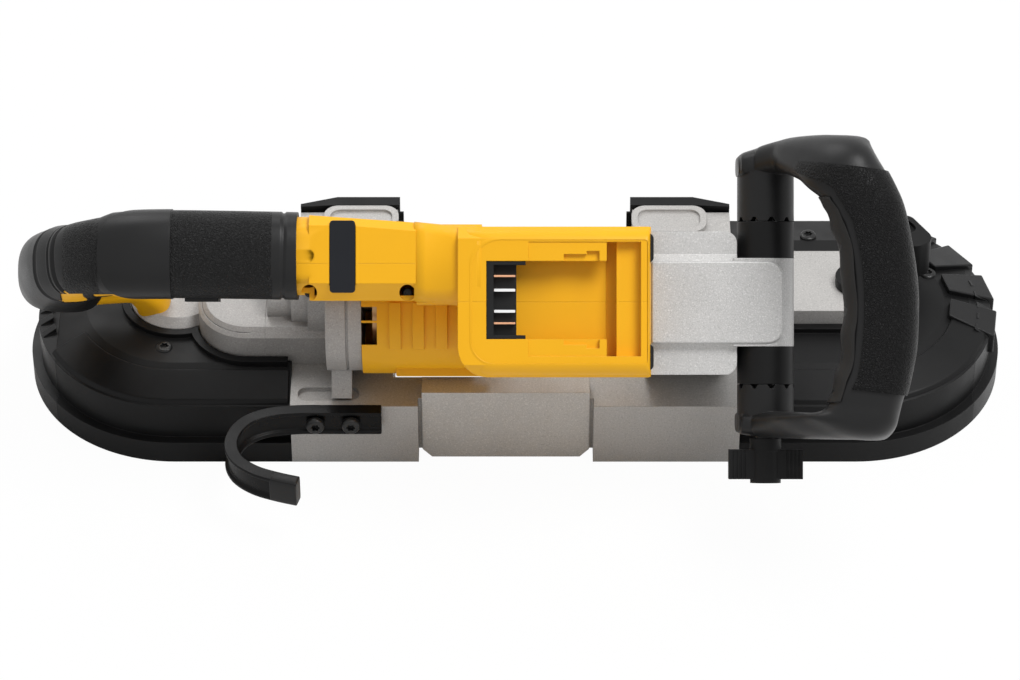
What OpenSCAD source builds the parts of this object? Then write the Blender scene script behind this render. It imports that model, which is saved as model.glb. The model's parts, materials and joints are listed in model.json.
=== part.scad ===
// Cordless portable band saw, lying on the open side of its wheel guards.
// Two frames are used. In the wheel frame, Z is the wheel axis and Z = 0 is the middle of the blade's
// width on the wheels. In the tool frame, X is shared, "across" runs over the tool's width and "up"
// points to the top of the handles.

/* [Wheels and blade] */
// Diameter of a wheel over its tyre
wheel_d = 134; // [126:1:138]
// Distance between the wheel axes
wheel_span = 360; // [352:1:370]
// Width of a wheel's rim
wheel_w = 16; // [14:0.5:18]
// Thickness of a tyre
tyre_t = 4; // [3:0.5:6]
// Width of the blade
blade_w = 12.7; // [10:0.1:13]
// Thickness of the blade
blade_t = 0.6; // [0.5:0.05:0.8]
// Gap between the blade and what it runs on
blade_gap = 0.3; // [0.2:0.05:0.4]
// Angle between the cut and the wheel plane
cut_tilt = 15; // [10:1:20]
// Pitch of the blade's teeth
tooth_pitch = 2.5; // [2:0.1:4]
// Depth of the blade's teeth
tooth_depth = 1; // [0.6:0.1:1.4]

/* [Frame and guards] */
// Width of the throat
throat_w = 127; // [120:1:130]
// Distance from the middle of the saw to the guards' straight ends
leg_x = 118; // [116:0.5:119]
// Underside of the back plate, from the blade's middle
plate_low = 13.5; // [12.5:0.5:14]
// Top of the back plate, from the blade's middle
plate_top = 18; // [17:0.5:19]
// Wall of the cast frame
cast_t = 3.5; // [3:0.25:4]
// Room between a wheel and the outside of its guard at the lip
wheel_room = 14; // [13:0.5:17]
// Distance from the blade's middle to the guards' open face
guard_low = 21.5; // [20:0.5:23]
// Thickness of a guard's back wall
guard_t = 3.2; // [2.8:0.1:3.6]
// Depth of the spine along the back of the frame
spine_deep = 23; // [21:0.5:25]

/* [Motor and gears] */
// Angle from the wheel axis to the tool's up direction
lean = 48.5; // [47.5:0.25:49.5]
// Outside radius of the stator
stator_r = 27; // [25:0.5:28]
// Length of the stator
stator_l = 22; // [18:1:24]
// Module of the first gear pair
first_module = 1.1; // [1.05:0.01:1.12]
// Module of the final gear pair
final_module = 1.6; // [1.55:0.01:1.62]
// Module of the bevel pair
bevel_module = 2; // [1.9:0.02:2.04]

/* [Housing and handles] */
// Width of the motor and dock housing
housing_w = 75.5; // [72:0.5:78]
// Middle of the housing, across the tool
housing_mid = 13.75; // [12.75:0.25:14.75]
// Top of the dock block, up from the wheel axes
dock_top = 166; // [164:0.5:170]
// Depth of the battery recess
dock_deep = 16; // [14:0.5:18]
// Wall of the plastic housings
shell_t = 2.6; // [2.2:0.1:3]
// Middle of the rear handle, across the tool
grip_mid = 37; // [36:0.5:38]
// Radius of a front handle barrel
barrel_r = 14.4; // [13.5:0.1:15]
// Radius of the handle's pivot bolt
bolt_r = 5; // [4:0.25:6]

/* [Hidden] */
$fn = 64;

cast_light = [0.72, 0.71, 0.70];
cast_mid = [0.60, 0.59, 0.57];
black = [0.13, 0.13, 0.13];
rubber = [0.20, 0.20, 0.20];
yellow = [0.93, 0.68, 0.18];
steel = [0.65, 0.66, 0.68];
copper = [0.72, 0.45, 0.25];

fit = 0.05;   // radial running clearance
gap = 0.3;    // clearance between bodies that move past each other
big = 600;    // larger than the saw

wheel_x = wheel_span / 2;
wheel_r = wheel_d / 2;
blade_y = wheel_r + blade_gap + blade_t / 2;
guard_r = wheel_r + wheel_room;
spine_in = guard_r - spine_deep;
rim_in = wheel_r - tyre_t;
wheel_hub_r = 24;

// Spans between the middle of the saw and the ends
throat_x = throat_w / 2;
guard_top = plate_top + guard_t;
bumper_x = wheel_x + 64;
arm_out = 6;                  // how far the leg guards stand out past the round guards
ramp_x = 98;                  // where their ramps end

// Gear train
first_teeth = [9, 44];
final_teeth = [12, 43];
bevel_teeth = [10, 22];
first_reach = first_module * (first_teeth[0] + first_teeth[1]) / 2;
final_reach = final_module * (final_teeth[0] + final_teeth[1]) / 2;
cross_angle = -28;            // from the drive shaft to the cross shaft
cross_x = -wheel_x + final_reach * cos(cross_angle);
cross_y = final_reach * sin(cross_angle);
bevel_z = 44;
bevel_face = 7;
bevel_at = across_up(cross_y, bevel_z);
motor_up = bevel_at[1] + sqrt(pow(first_reach, 2) - pow(bevel_at[0] - housing_mid, 2));
first_gear_r = first_module * (first_teeth[1] / 2 + 0.85);
mesh_angle = atan2(motor_up - bevel_at[1], housing_mid - bevel_at[0]);
flange_x = -100;
flange_t = 10;
flange_r = 35;
flange_plates = [[-98.2, -87.8], [-86.5, -79.5]];
cross_bearing_r = 8;
cross_r = 5;
drive_bearing_r = 16;
drive_shaft_r = 8;
final_z = 1;
final_w = 8;

// Gear case
case_r = 27;
hub_r = 26;
hub_top = 28;
case_top = 40.5;
case_chamfer = 4.3;
part_x = -131.7;              // where the case meets the head

// Slide housing, carriage and lever
slide_x0 = 134;
slide_x1 = 208;
slide_y = [-22, 27];
slide_top = 33;
carriage_w = 28;
slide_travel = 8;
idler_bearing_r = 16;
idler_axle_r = 7.5;
spring_r = 6;
lever_x = 182;
lever_y = 0;
lever_pin_r = 4;
lever_reach = 34;
cam_r = 7;
cam_off = slide_travel / 2;

// Leg ends and the pocket in the back plate
leg_boss = [41, 22];
leg_boss_x = 84.5;
leg_boss_y = guard_r - 12;
pocket_x = [-114, -82];
pocket_y = [-guard_r + 5, -guard_r + 15];

// Spine cover, hook and screws
cover_x = [-51, 41];
cover_y = guard_r - 4;
cover_t = 2.5;
hook_t = 7;
hook_w = 15;
hook_mid = 12;
hook_screw_x = [-104.5, -86];
hook_screw_r = 2.5;
hook_bend = [-126, -111.5];
hook_bend_r = 26.5;
hook_sweep = 160;
hook_tip = 18;
guard_screw_at = [[186, -38], [223, 22], [160, 54]];
lip_t = 4;                    // lips round the gear case and the slide housing
lip_h = 3;
guard_slope = 31;             // how far in a guard's sloping top edge starts
slot_x = 148;                 // slots in the front guard
slot_step = 6.5;
tread_t = 2.2;

// Blade and guides
guide_x = throat_x + 10;
guide_w = 24;
twist = 90 - cut_tilt;
tooth_n = floor(throat_w / tooth_pitch);
roller_r = 6;
backup_r = 4;
side_reach = blade_t / 2 + blade_gap + roller_r;
back_z = -blade_w / 2 - 4.4;

// Housing and dock
case_x = [-79.4, -28];        // motor casing from the flange to the dock block
motor_case_r = 36.5;
dock_x = [-29, 68];
dock_y = [housing_mid - housing_w / 2, housing_mid + housing_w / 2];
dock_low = 85;
dock_floor = dock_top - dock_deep;
dock_edge = 6;                // chamfer along the dock block
end_edge = 2;                 // how far the chamfer at its front end runs back
dock_corner = 15;
saddle_y = [12.5, 53];        // band that carries the neck on to the dock block
saddle_top = 157;
neck_x = -50;
neck_y = [14.5, 57.5];
neck_up = [122, 160];
split_y = housing_mid;
rib_x = [-65, -53, -41];
window_y = [[-7.8, 3.4], [4.6, 11.6]];
rail_y = [-5, 34.2];          // inner edges of the battery rails
rail_x = [6.4, 45.7];
well_y = [-13.6, 43.8];       // outer walls of the battery recess
well_x = [-14.7, 62.8];
rail_t = 5;
contact_y = [26.7, 19.6, 9, 3];
end_slot_y = [[33, 48.5], [-21, -7]];

// Rear handle: centre line points [x, across, up, half width, half height]
grip_path = [[-104, grip_mid, 145, 20, 18], [-183, grip_mid + 1, 147, 20, 18],
    [-213, grip_mid - 1, 138, 19, 18], [-230, grip_mid - 4, 112, 17.5, 18],
    [-239, grip_mid - 7, 78, 18, 18], [-234, grip_mid - 10, 52, 16, 16]];
strut_at = [-197, 24, 37];
split_grip = grip_mid - 4;
plate_at = [-87, 36.5];       // bare plate on the neck: its middle and its size
plate_size = [13.3, 36.8];
shell_screw_x = [-104, -54.5];
strut_r = 9;
trigger_x = [-222, -206];
trigger_up = [88, 116];
trigger_y = [grip_mid - 12, grip_mid + 2];
grip_t = 2.2;
lock_x = [-226, -214];
lock_up = [118, 128];

// Front bridge and handle
bridge_x = [dock_x[1], 112];
bridge_y = [dock_y[0] + 1, dock_y[1] - 2];
bridge_top = 150;
panel_low = bridge_top - 4;   // top of the bridge beside its raised panel
pivot_x = 127;
pivot_up = bridge_top - barrel_r;
boss_y = [-8.6, 36];
collar_y = [[boss_y[0] - 19, boss_y[0]], [boss_y[1], boss_y[1] + 18.5]];
knob_w = 37.5;
notches = 10;                 // in the edge of each handle barrel
grip_x = 178;
grip_up = 190;
core_r = 9;
// Sections of the front handle: [X, up, from, to across, radius]
arm_high = [[pivot_x, pivot_up, 77, 88.5, barrel_r], [150, 160, 76, 97, 14], [167, 184, 69, 96, 16],
    [172.5, 190, 62.7, 90, 18.6]];
arm_low = [[pivot_x, pivot_up, -55, -41.5, barrel_r], [170, 185, -55, -39, 15.5], [174, 190, -51, -36.7, 18]];
grip_line = [[-36, 174.6, 18], [-18, 178.2, 17.6], [0, 180, 17.8], [20, 180.4, 17.8], [38, 178.8, 17.8],
    [52, 175.6, 18.2], [62, 172.5, 18.8]];
handle_y = -55;               // low side of the handle
grip_end = 15.34;             // how far the handle reaches past the axis of its grip

// Rest position: the guards' open faces on Z = 0, the whole saw centred on X and Y
rest_z = guard_low;
mid_y = (guard_r + arm_out + arm_low[2][2] * cos(lean) - (grip_up + grip_end) * sin(lean)) / 2;

function across_up(y, z) = [y * cos(lean) + z * sin(lean), -y * sin(lean) + z * cos(lean)];

module wheel_frame() translate([0, -mid_y, rest_z]) children();
module tool_frame() wheel_frame() rotate([lean, 0, 0]) children();
module mirrored_x() { children(); mirror([1, 0, 0]) children(); }

// Cylinder along X from x0 to x1
module rod_x(x0, x1, r) translate([x0, 0, 0]) rotate([0, 90, 0]) cylinder(r = r, h = x1 - x0);

// Box between two corners
module span(a, b) translate(a) cube(b - a);

// Rectangle with round corners
module pad(size, r) {
    square([size[0], size[1] - 2 * r], center = true);
    square([size[0] - 2 * r, size[1]], center = true);
    for (i = [-1, 1], j = [-1, 1]) translate([i * (size[0] / 2 - r), j * (size[1] / 2 - r)]) circle(r);
}

// Gears

// Point of an involute flank at radius r, mirrored by side, for a gear of pitch radius rp
function roll(r, rb) = r <= rb ? 0 : sqrt(pow(r / rb, 2) - 1);
function inv_deg(r, rb) = roll(r, rb) * 180 / PI - atan(roll(r, rb));
function half_tooth(r, rp, n, slack) =
    90 / n - slack / rp * 90 / PI + inv_deg(rp, rp * cos(25)) - inv_deg(r, rp * cos(25));
function gear_points(m, n, slack) = [for (k = [0 : n - 1])
    for (p = [[-1, m * n / 2 - 1.1 * m], [-1, m * n / 2], [-1, m * n / 2 + 0.85 * m],
              [1, m * n / 2 + 0.85 * m], [1, m * n / 2], [1, m * n / 2 - 1.1 * m]])
        let (a = k * 360 / n + p[0] * half_tooth(p[1], m * n / 2, n, slack)) p[1] * [cos(a), sin(a)]];

module spur(m, n, h, bore = 0, slack = 0.15) linear_extrude(h) difference() {
    polygon(gear_points(m, n, slack));
    if (bore > 0) circle(bore);
}

// Bevel gear on a cone with its tip at the origin: r is its pitch radius, mate the other's
function cone_tooth(r, mate, n, m, slack) = let (d = atan(r / mate)) [for (k = [0 : n - 1])
    for (p = [[-1, -1.1 * m], [-1, 0], [-1, 0.85 * m], [1, 0.85 * m], [1, 0], [1, -1.1 * m]])
        let (rv = r / cos(d), a = k * 360 / n
            + p[0] * half_tooth(rv + p[1], rv, n / cos(d), slack) / cos(d), q = r + p[1] * cos(d))
        [q * cos(a), q * sin(a), -mate + p[1] * sin(d)]];
module bevel(r, mate, n, m, face_w, slack = 0.4) {
    outer = cone_tooth(r, mate, n, m, slack);
    k = 1 - face_w / sqrt(r * r + mate * mate);
    c = len(outer);
    polyhedron(points = concat(outer, [for (p = outer) k * p],
            [[0, 0, -mate - 1.1 * m], [0, 0, -k * mate]]),
        faces = concat([for (i = [0 : c - 1]) [i, (i + 1) % c, 2 * c]],
            [for (i = [0 : c - 1]) [(i + 1) % c, i, c + i]],
            [for (i = [0 : c - 1]) [(i + 1) % c, c + i, c + (i + 1) % c]],
            [for (i = [0 : c - 1]) [c + (i + 1) % c, c + i, 2 * c + 1]]), convexity = 6);
}

// Main frame: back plate with spine, two legs, hub seat and slide housing

module frame_outline() {
    for (x = [[-leg_x, cover_x[0]], [cover_x[1], leg_x]])
        translate([x[0], -guard_r]) square([x[1] - x[0], guard_r - spine_in]);
    translate([-leg_x, -cover_y + cover_t]) square([2 * leg_x, cover_y - cover_t - spine_in]);
    mirrored_x() {
        translate([throat_x + 1, -spine_in - 1]) square([leg_x - throat_x - 1, spine_in + 78.5]);
        translate([throat_x + 1, 0]) square([ramp_x - throat_x - 1, guard_r - 1]);
        translate([leg_x - 1, -42]) square([wheel_x - leg_x + 1, 84]);
        translate([wheel_x, 0]) circle(42);
    }
}
module main_frame() color(cast_light) wheel_frame() difference() {
    union() {
        translate([0, 0, plate_low]) linear_extrude(plate_top - plate_low) frame_outline();
        // outer walls of the spine, left and right of the cover
        for (x = [[-leg_x, cover_x[0]], [cover_x[1], leg_x]])
            span([x[0], -guard_r, -guard_low], [x[1], -guard_r + cast_t, plate_top]);
        span([cover_x[0] - cast_t, -cover_y + cover_t, -guard_low + 4],
            [cover_x[1] + cast_t, -cover_y + cover_t + 2.5, plate_top]);
        for (x = [[cover_x[0] - cast_t, cover_x[0]], [cover_x[1], cover_x[1] + cast_t]])
            span([x[0], -guard_r, -guard_low], [x[1], -cover_y + cover_t + 2.5, plate_top]);
        // inner wall of the spine and throat walls of the legs
        span([-throat_x - 1, -spine_in - cast_t, -guard_low + 6], [throat_x + 1, -spine_in, plate_top]);
        mirrored_x() {
            span([throat_x + 1, -spine_in - cast_t, -guard_low + 6],
                [throat_x + 1 + cast_t, 48, plate_top]);
            span([throat_x + 1, 44.5, -guard_low + 6], [104, 48, plate_top]);
        }
        // leg end bosses
        mirrored_x() translate([leg_boss_x, leg_boss_y, plate_top]) linear_extrude(3) pad(leg_boss, 8);
        // boss of the drive shaft's bearing
        translate([-wheel_x, 0, 11]) cylinder(r = 20, h = plate_top - 11);
        // slide housing
        translate([0, 0, plate_low]) linear_extrude(slide_top - plate_low) slide_outline(0);
    }
    translate([0, 0, plate_low - 1]) linear_extrude(slide_top - plate_low - 2) slide_outline(4);
    // bearing seats
    translate([-wheel_x, 0, 9]) cylinder(r = drive_bearing_r, h = 20);
    translate([cross_x, cross_y, plate_low - 1]) cylinder(r = cross_bearing_r, h = 20);
    // screw holes of the hang hook
    for (x = hook_screw_x) translate([x, -guard_r - 1, hook_mid]) rotate([-90, 0, 0])
        cylinder(r = hook_screw_r, h = cast_t + 2);
    // lever pin hole
    translate([lever_x, lever_y, slide_top - 8]) cylinder(r = lever_pin_r + fit, h = 12);
    // pocket beside the lug
    translate([(pocket_x[0] + pocket_x[1]) / 2, (pocket_y[0] + pocket_y[1]) / 2, plate_top - 2])
        linear_extrude(4) pad([pocket_x[1] - pocket_x[0], pocket_y[1] - pocket_y[0]], 4.5);
    // dished leg ends
    mirrored_x() translate([leg_boss_x, leg_boss_y, plate_top + 1.4]) linear_extrude(4)
        pad([leg_boss[0] - 7, leg_boss[1] - 7], 5.5);
}
module slide_outline(inset) {
    w = slide_y[1] - slide_y[0] - 2 * inset;
    r = 12;
    translate([slide_x0 + inset, slide_y[0] + inset]) square([slide_x1 - slide_x0 - 2 * inset - r, w]);
    translate([slide_x1 - r - inset, slide_y[0] + inset + r]) circle(r);
    translate([slide_x1 - r - inset, slide_y[1] - inset - r]) circle(r);
    translate([slide_x0 + inset, slide_y[0] + inset + r])
        square([slide_x1 - slide_x0 - 2 * inset, w - 2 * r]);
}

// Cover over the middle of the spine
module spine_cover() color(cast_mid) wheel_frame() difference() {
    union() {
        rotate([90, 0, 0]) translate([0, 0, cover_y - cover_t]) linear_extrude(cover_t) polygon([
            [cover_x[0] + 2, 24], [cover_x[1] - 2, 24], [cover_x[1] - 2, -16], [cover_x[1] - 7, -guard_low],
            [cover_x[0] + 7, -guard_low], [cover_x[0] + 2, -16]]);
        span([cover_x[0] + 2, -cover_y, plate_top], [cover_x[1] - 2, -64.5, 24]);
    }
}

// Guards and bumpers: the same section on the round end and on the straight sides
function guard_section(t) = [[0, guard_top], [guard_r - guard_slope, guard_top],
    [guard_r - 5, guard_top - 8], [guard_r - 5, -8], [guard_r, -8], [guard_r, -guard_low],
    [guard_r - t, -guard_low], [guard_r - t, -8 - t], [guard_r - 5 - t, -8 - t],
    [guard_r - 5 - t, guard_top - 8 - t * 0.7], [guard_r - guard_slope - t * 0.3, plate_top],
    [0, plate_top]];
module guard_shell() {
    translate([-wheel_x, 0, 0]) rotate([0, 0, 90]) rotate_extrude(angle = 180) polygon(guard_section(3));
    translate([-wheel_x, 0, 0]) rotate([90, 0, 90]) linear_extrude(wheel_x - leg_x) {
        polygon(guard_section(3));
        mirror([1, 0]) polygon(guard_section(3));
    }
}
module guard_arm() {
    // strip over the leg's outer side with its ramp, thinner where the blade guide stands
    arm_y = guard_r + arm_out;
    translate([0, 0, plate_low]) linear_extrude(guard_top - plate_low) polygon([
        [-leg_x, guard_r], [-leg_x, guard_r - 2.4], [-ramp_x, guard_r - 0.9], [-throat_x, guard_r - 0.9],
        [-throat_x, arm_y], [-ramp_x, arm_y]]);
    translate([0, 0, -guard_low]) linear_extrude(guard_low + plate_low) polygon([
        [-leg_x, guard_r], [-leg_x, guard_r - 2.4], [-ramp_x, arm_y - 2.6], [-throat_x, arm_y - 2.6],
        [-throat_x, arm_y], [-ramp_x, arm_y]]);
}
module rear_guard() color(black) wheel_frame() difference() {
    union() {
        difference() {
            guard_shell();
            span([-big, -big, -big], [-bumper_x, big, big]);
            case_opening(1);
        }
        guard_arm();
        // raised lip round the gear case
        difference() {
            translate([0, 0, guard_top - 1]) linear_extrude(lip_h + 1) case_outline(1 + lip_t);
            translate([0, 0, guard_top - 2]) linear_extrude(lip_h + 4) case_outline(1);
            translate([-wheel_x, 0, guard_top - 2]) cylinder(r = hub_r + 1, h = lip_h + 4);
            span([flange_x - 20, -big, 0], [big, big, big]);
        }
        difference() {
            translate([-wheel_x, 0, guard_top - 1]) cylinder(r = hub_r + 1 + lip_t, h = lip_h + 1);
            translate([-wheel_x, 0, guard_top - 2]) cylinder(r = hub_r + 1, h = lip_h + 4);
            translate([0, 0, guard_top - 2]) linear_extrude(lip_h + 4) case_outline(1);
        }
    }
    for (p = guard_screw_at) translate([-p[0], p[1], plate_top - 4]) cylinder(r = 2.3, h = 12);
}
module case_opening(extra) {
    translate([-wheel_x, 0, plate_top - 4]) cylinder(r = hub_r + extra, h = 12);
    translate([0, 0, plate_top - 4]) linear_extrude(12) case_outline(extra);
}
module front_guard() color(black) wheel_frame() difference() {
    union() {
        mirror([1, 0, 0]) difference() {
            guard_shell();
            span([-big, -big, -big], [-bumper_x, big, big]);
            mirror([1, 0, 0]) translate([0, 0, plate_top - 4]) linear_extrude(12) slide_outline(-0.6);
        }
        mirror([1, 0, 0]) guard_arm();
        // raised lip round the slide housing
        translate([0, 0, guard_top - 1]) linear_extrude(lip_h + 1) difference() {
            slide_outline(-0.6 - lip_t);
            slide_outline(-0.6);
        }
    }
    for (p = guard_screw_at) translate([p[0], p[1], plate_top - 4]) cylinder(r = 2.3, h = 12);
    // slots in the sloping top beside the leg
    for (k = [0 : 3]) translate([slot_x + slot_step * k, guard_r - 19, guard_top - 2.5]) cube([3, 9, 5.5]);
}
module bumper() {
    intersection() {
        guard_shell();
        span([-big, -big, -big], [-bumper_x, big, big]);
    }
    // treads on the sloping face
    translate([-wheel_x, 0, 0]) for (k = [-2 : 2]) rotate([0, 0, 7.5 * k]) intersection() {
        span([-guard_r + 2, -tread_t, 2], [25 - guard_r, tread_t, guard_top + 2]);
        rotate([0, 0, 90]) translate([0, 0, tread_t * 0.6]) rotate_extrude() polygon([
            [bumper_x - wheel_x + 4, 10], [bumper_x - wheel_x + 4, guard_top - 4],
            [guard_r - 6, guard_top - 8.5], [guard_r - 6, 10]]);
    }
}
module rear_bumper() color(rubber) wheel_frame() bumper();
module front_bumper() color(rubber) wheel_frame() mirror([1, 0, 0]) bumper();

// Gear case: hub disc and stepped case, then the head with the double flange

module case_outline(extra) {
    translate([cross_x, cross_y]) circle(case_r + extra);
    translate([cross_x, cross_y - case_r - extra]) square([flange_x - cross_x, 2 * (case_r + extra)]);
}
module case_section() polygon([[-case_r, plate_top], [-case_r, case_top - case_chamfer],
    [-case_r + case_chamfer, case_top], [case_r - case_chamfer, case_top],
    [case_r, case_top - case_chamfer], [case_r, plate_top]]);
module case_solid(x1) {
    translate([cross_x, cross_y, 0]) {
        rotate([0, 0, 90]) rotate_extrude(angle = 180) intersection() {
            case_section();
            translate([0, -big / 2]) square(big);
        }
        rotate([90, 0, 90]) linear_extrude(x1 - cross_x) case_section();
    }
}
module gear_case() color(cast_mid) wheel_frame() difference() {
    union() {
        translate([-wheel_x, 0, 0]) rotate_extrude() polygon([[0, plate_top], [hub_r, plate_top],
            [hub_r, hub_top - case_chamfer], [hub_r - case_chamfer, hub_top], [0, hub_top]]);
        case_solid(part_x);
    }
    // room for the shaft's bearing and for the ring
    translate([-wheel_x, 0, plate_top - 1]) cylinder(r = drive_bearing_r + 0.5, h = 5);
    translate([-wheel_x, 0, plate_top - 1]) cylinder(r = drive_shaft_r + 0.5, h = 8);
    translate([cross_x, cross_y, plate_top - 1]) cylinder(r = case_r - 2, h = case_top - plate_top - 1.2);
}
module gear_head() color(cast_light) difference() {
    union() {
        wheel_frame() difference() {
            case_solid(flange_x + 4);
            span([-big, -big, -big], [part_x, big, big]);
        }
        tool_frame() {
            translate([0, bevel_at[0], bevel_at[1]]) {
                rod_x(part_x + 1, flange_x + 3, 15);
                // step up to the flange
                rod_x(-118, flange_x + 3, 19);
                rod_x(-109, flange_x + 3, 25);
            }
            for (x = flange_plates) {
                translate([0, housing_mid, motor_up]) rod_x(x[0], x[1], flange_r);
                translate([0, bevel_at[0], bevel_at[1]]) rod_x(x[0], x[1], first_gear_r + 5);
            }
            translate([0, housing_mid, motor_up])
                rod_x(flange_plates[0][0] + 1, flange_plates[1][1] - 1, flange_r - 1.2);
            // lug that bolts to the back plate
            span([flange_plates[0][0] + 2, -36, motor_up - 14],
                [flange_plates[1][0] + 1, housing_mid - 20, motor_up - 2]);
        }
    }
    // under the plate, and room for the ring, the bevel pinion and the first gear
    wheel_frame() span([-big, -big, -big], [big, big, plate_top]);
    wheel_frame() translate([cross_x, cross_y, plate_top - 1])
        cylinder(r = case_r - 2, h = case_top - plate_top - 1.2);
    tool_frame() {
        translate([0, bevel_at[0], bevel_at[1]]) {
            rod_x(part_x + 4, flange_x - 15, 12.5);
            rod_x(flange_x - 16, flange_x + 6, 8);
            rod_x(flange_x + 2, flange_plates[1][1] - 3, first_gear_r + 1.5);
        }
        translate([0, housing_mid, motor_up]) {
            rod_x(flange_x + 3, flange_plates[1][1] + 1, 8);
            rod_x(flange_x + flange_t + 5, flange_plates[1][1] + 1, 11);
        }
    }
}

// Motor

module motor_axis() tool_frame() translate([0, housing_mid, motor_up]) children();
module bevel_axis() tool_frame() translate([0, bevel_at[0], bevel_at[1]]) children();
module stator() color(steel) motor_axis() difference() {
    rod_x(-74, -74 + stator_l, stator_r);
    rod_x(-75, -73 + stator_l, 16);
    for (k = [0 : 5]) rotate([60 * k, 0, 0]) span([-75, 15, -2.5], [-73 + stator_l, 23, 2.5]);
}
module rotor() color(copper) motor_axis() difference() {
    rod_x(-73, -75 + stator_l, 15.4);
    rod_x(-74, -74 + stator_l, 4);
}
module motor_shaft() color(steel) motor_axis() {
    rod_x(-88, -33, 4);
    translate([-96.5, 0, 0]) rotate([0, 90, 0]) rotate([0, 0, mesh_angle + 270])
        spur(first_module, first_teeth[0], 9);
}
module fan() color(black) motor_axis() difference() {
    union() {
        rod_x(-47, -45, 25);
        rod_x(-47, -39, 7);
        for (k = [0 : 10]) rotate([k * 360 / 11, 0, 0]) span([-45.5, 8, -0.8], [-39, 24, 0.8]);
    }
    rod_x(-50, -30, 4);
}
module motor_bearings() color(steel) motor_axis() for (x = [-85, -38]) difference() {
    rod_x(x, x + 5, 11);
    rod_x(x - 1, x + 6, 4 + fit);
}

// Gear train
module first_gear() color(steel) bevel_axis() translate([-96, 0, 0]) rotate([0, 90, 0])
    rotate([0, 0, mesh_angle + 90 + 180 / first_teeth[1]]) spur(first_module, first_teeth[1], 8, 5);
module bevel_pinion() color(steel) bevel_axis() {
    rod_x(cross_x + 22.2, -88, 5);
    // a tooth points at the ring
    translate([cross_x, 0, 0]) rotate([0, -90, 0]) rotate([0, 0, 180 + lean])
        bevel(bevel_module * bevel_teeth[0] / 2, bevel_module * bevel_teeth[1] / 2, bevel_teeth[0],
            bevel_module, bevel_face);
}
module bevel_ring() color(steel) wheel_frame() translate([cross_x, cross_y, bevel_z]) difference() {
    rotate([0, 0, 180 / bevel_teeth[1]])
        bevel(bevel_module * bevel_teeth[1] / 2, bevel_module * bevel_teeth[0] / 2, bevel_teeth[1],
            bevel_module, bevel_face);
    translate([0, 0, -30]) cylinder(r = 5, h = 40);
}
module cross_shaft() color(steel) wheel_frame() translate([cross_x, cross_y, 0]) {
    translate([0, 0, final_z]) cylinder(r = cross_r, h = 36 - final_z);
    translate([0, 0, final_z]) rotate([0, 0, cross_angle + 180]) spur(final_module, final_teeth[0], final_w);
}
module gear_bearings() color(steel) {
    wheel_frame() {
        translate([cross_x, cross_y, plate_low]) difference() {
            cylinder(r = cross_bearing_r, h = plate_top - plate_low);
            translate([0, 0, -1]) cylinder(r = cross_r + fit, h = 8);
        }
        translate([-wheel_x, 0, 11]) difference() {
            cylinder(r = drive_bearing_r, h = 9);
            translate([0, 0, -1]) cylinder(r = drive_shaft_r + fit, h = 12);
        }
    }
    bevel_axis() difference() {
        rod_x(-113, -104, 8);
        rod_x(-114, -103, 5 + fit);
    }
}
module final_gear() color(steel) wheel_frame() translate([-wheel_x, 0, final_z])
    rotate([0, 0, cross_angle + 180 / final_teeth[1]])
        spur(final_module, final_teeth[1], final_w, drive_shaft_r);
module drive_shaft() color(steel) wheel_frame() translate([-wheel_x, 0, -wheel_w / 2])
    cylinder(r = drive_shaft_r, h = 33);

// Wheels
module wheel_body(bore, hub_h) rotate_extrude() polygon([[bore, -wheel_w / 2], [wheel_hub_r, -wheel_w / 2],
    [wheel_hub_r + 2, -5], [rim_in - 9, -5], [rim_in - 6, -wheel_w / 2], [rim_in, -wheel_w / 2],
    [rim_in, wheel_w / 2], [rim_in - 5.5, wheel_w / 2], [rim_in - 6.5, -1], [wheel_hub_r, -1],
    [wheel_hub_r, hub_h], [bore, hub_h]]);
module wheel_holes() for (k = [0 : 5]) rotate([0, 0, 60 * k]) translate([rim_in - 22, 0, -10])
    cylinder(r = 8, h = 20);
module drive_wheel() color(steel) wheel_frame() translate([-wheel_x, 0, 0]) difference() {
    wheel_body(drive_shaft_r, final_z);
}
module tyre_ring() difference() {
    cylinder(r = wheel_r, h = wheel_w, center = true, $fn = 128);
    cylinder(r = rim_in, h = wheel_w + 2, center = true, $fn = 128);
}
module drive_tyre() color(rubber) wheel_frame() translate([-wheel_x, 0, 0]) tyre_ring();
module drive_screw() color(steel) wheel_frame() translate([-wheel_x, 0, -12]) difference() {
    cylinder(r = 12, h = 4);
    translate([0, 0, -1]) cylinder(r = 4, h = 3, $fn = 6);
}
module idler_wheel() color(steel) wheel_frame() translate([wheel_x, 0, 0]) difference() {
    wheel_body(idler_bearing_r, wheel_w / 2);
    wheel_holes();
}
module idler_tyre() color(rubber) wheel_frame() translate([wheel_x, 0, 0]) tyre_ring();
module idler_bearings() color(steel) wheel_frame() translate([wheel_x, 0, -8]) difference() {
    cylinder(r = idler_bearing_r, h = 16);
    translate([0, 0, -1]) cylinder(r = idler_axle_r + fit, h = 20);
}

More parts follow.
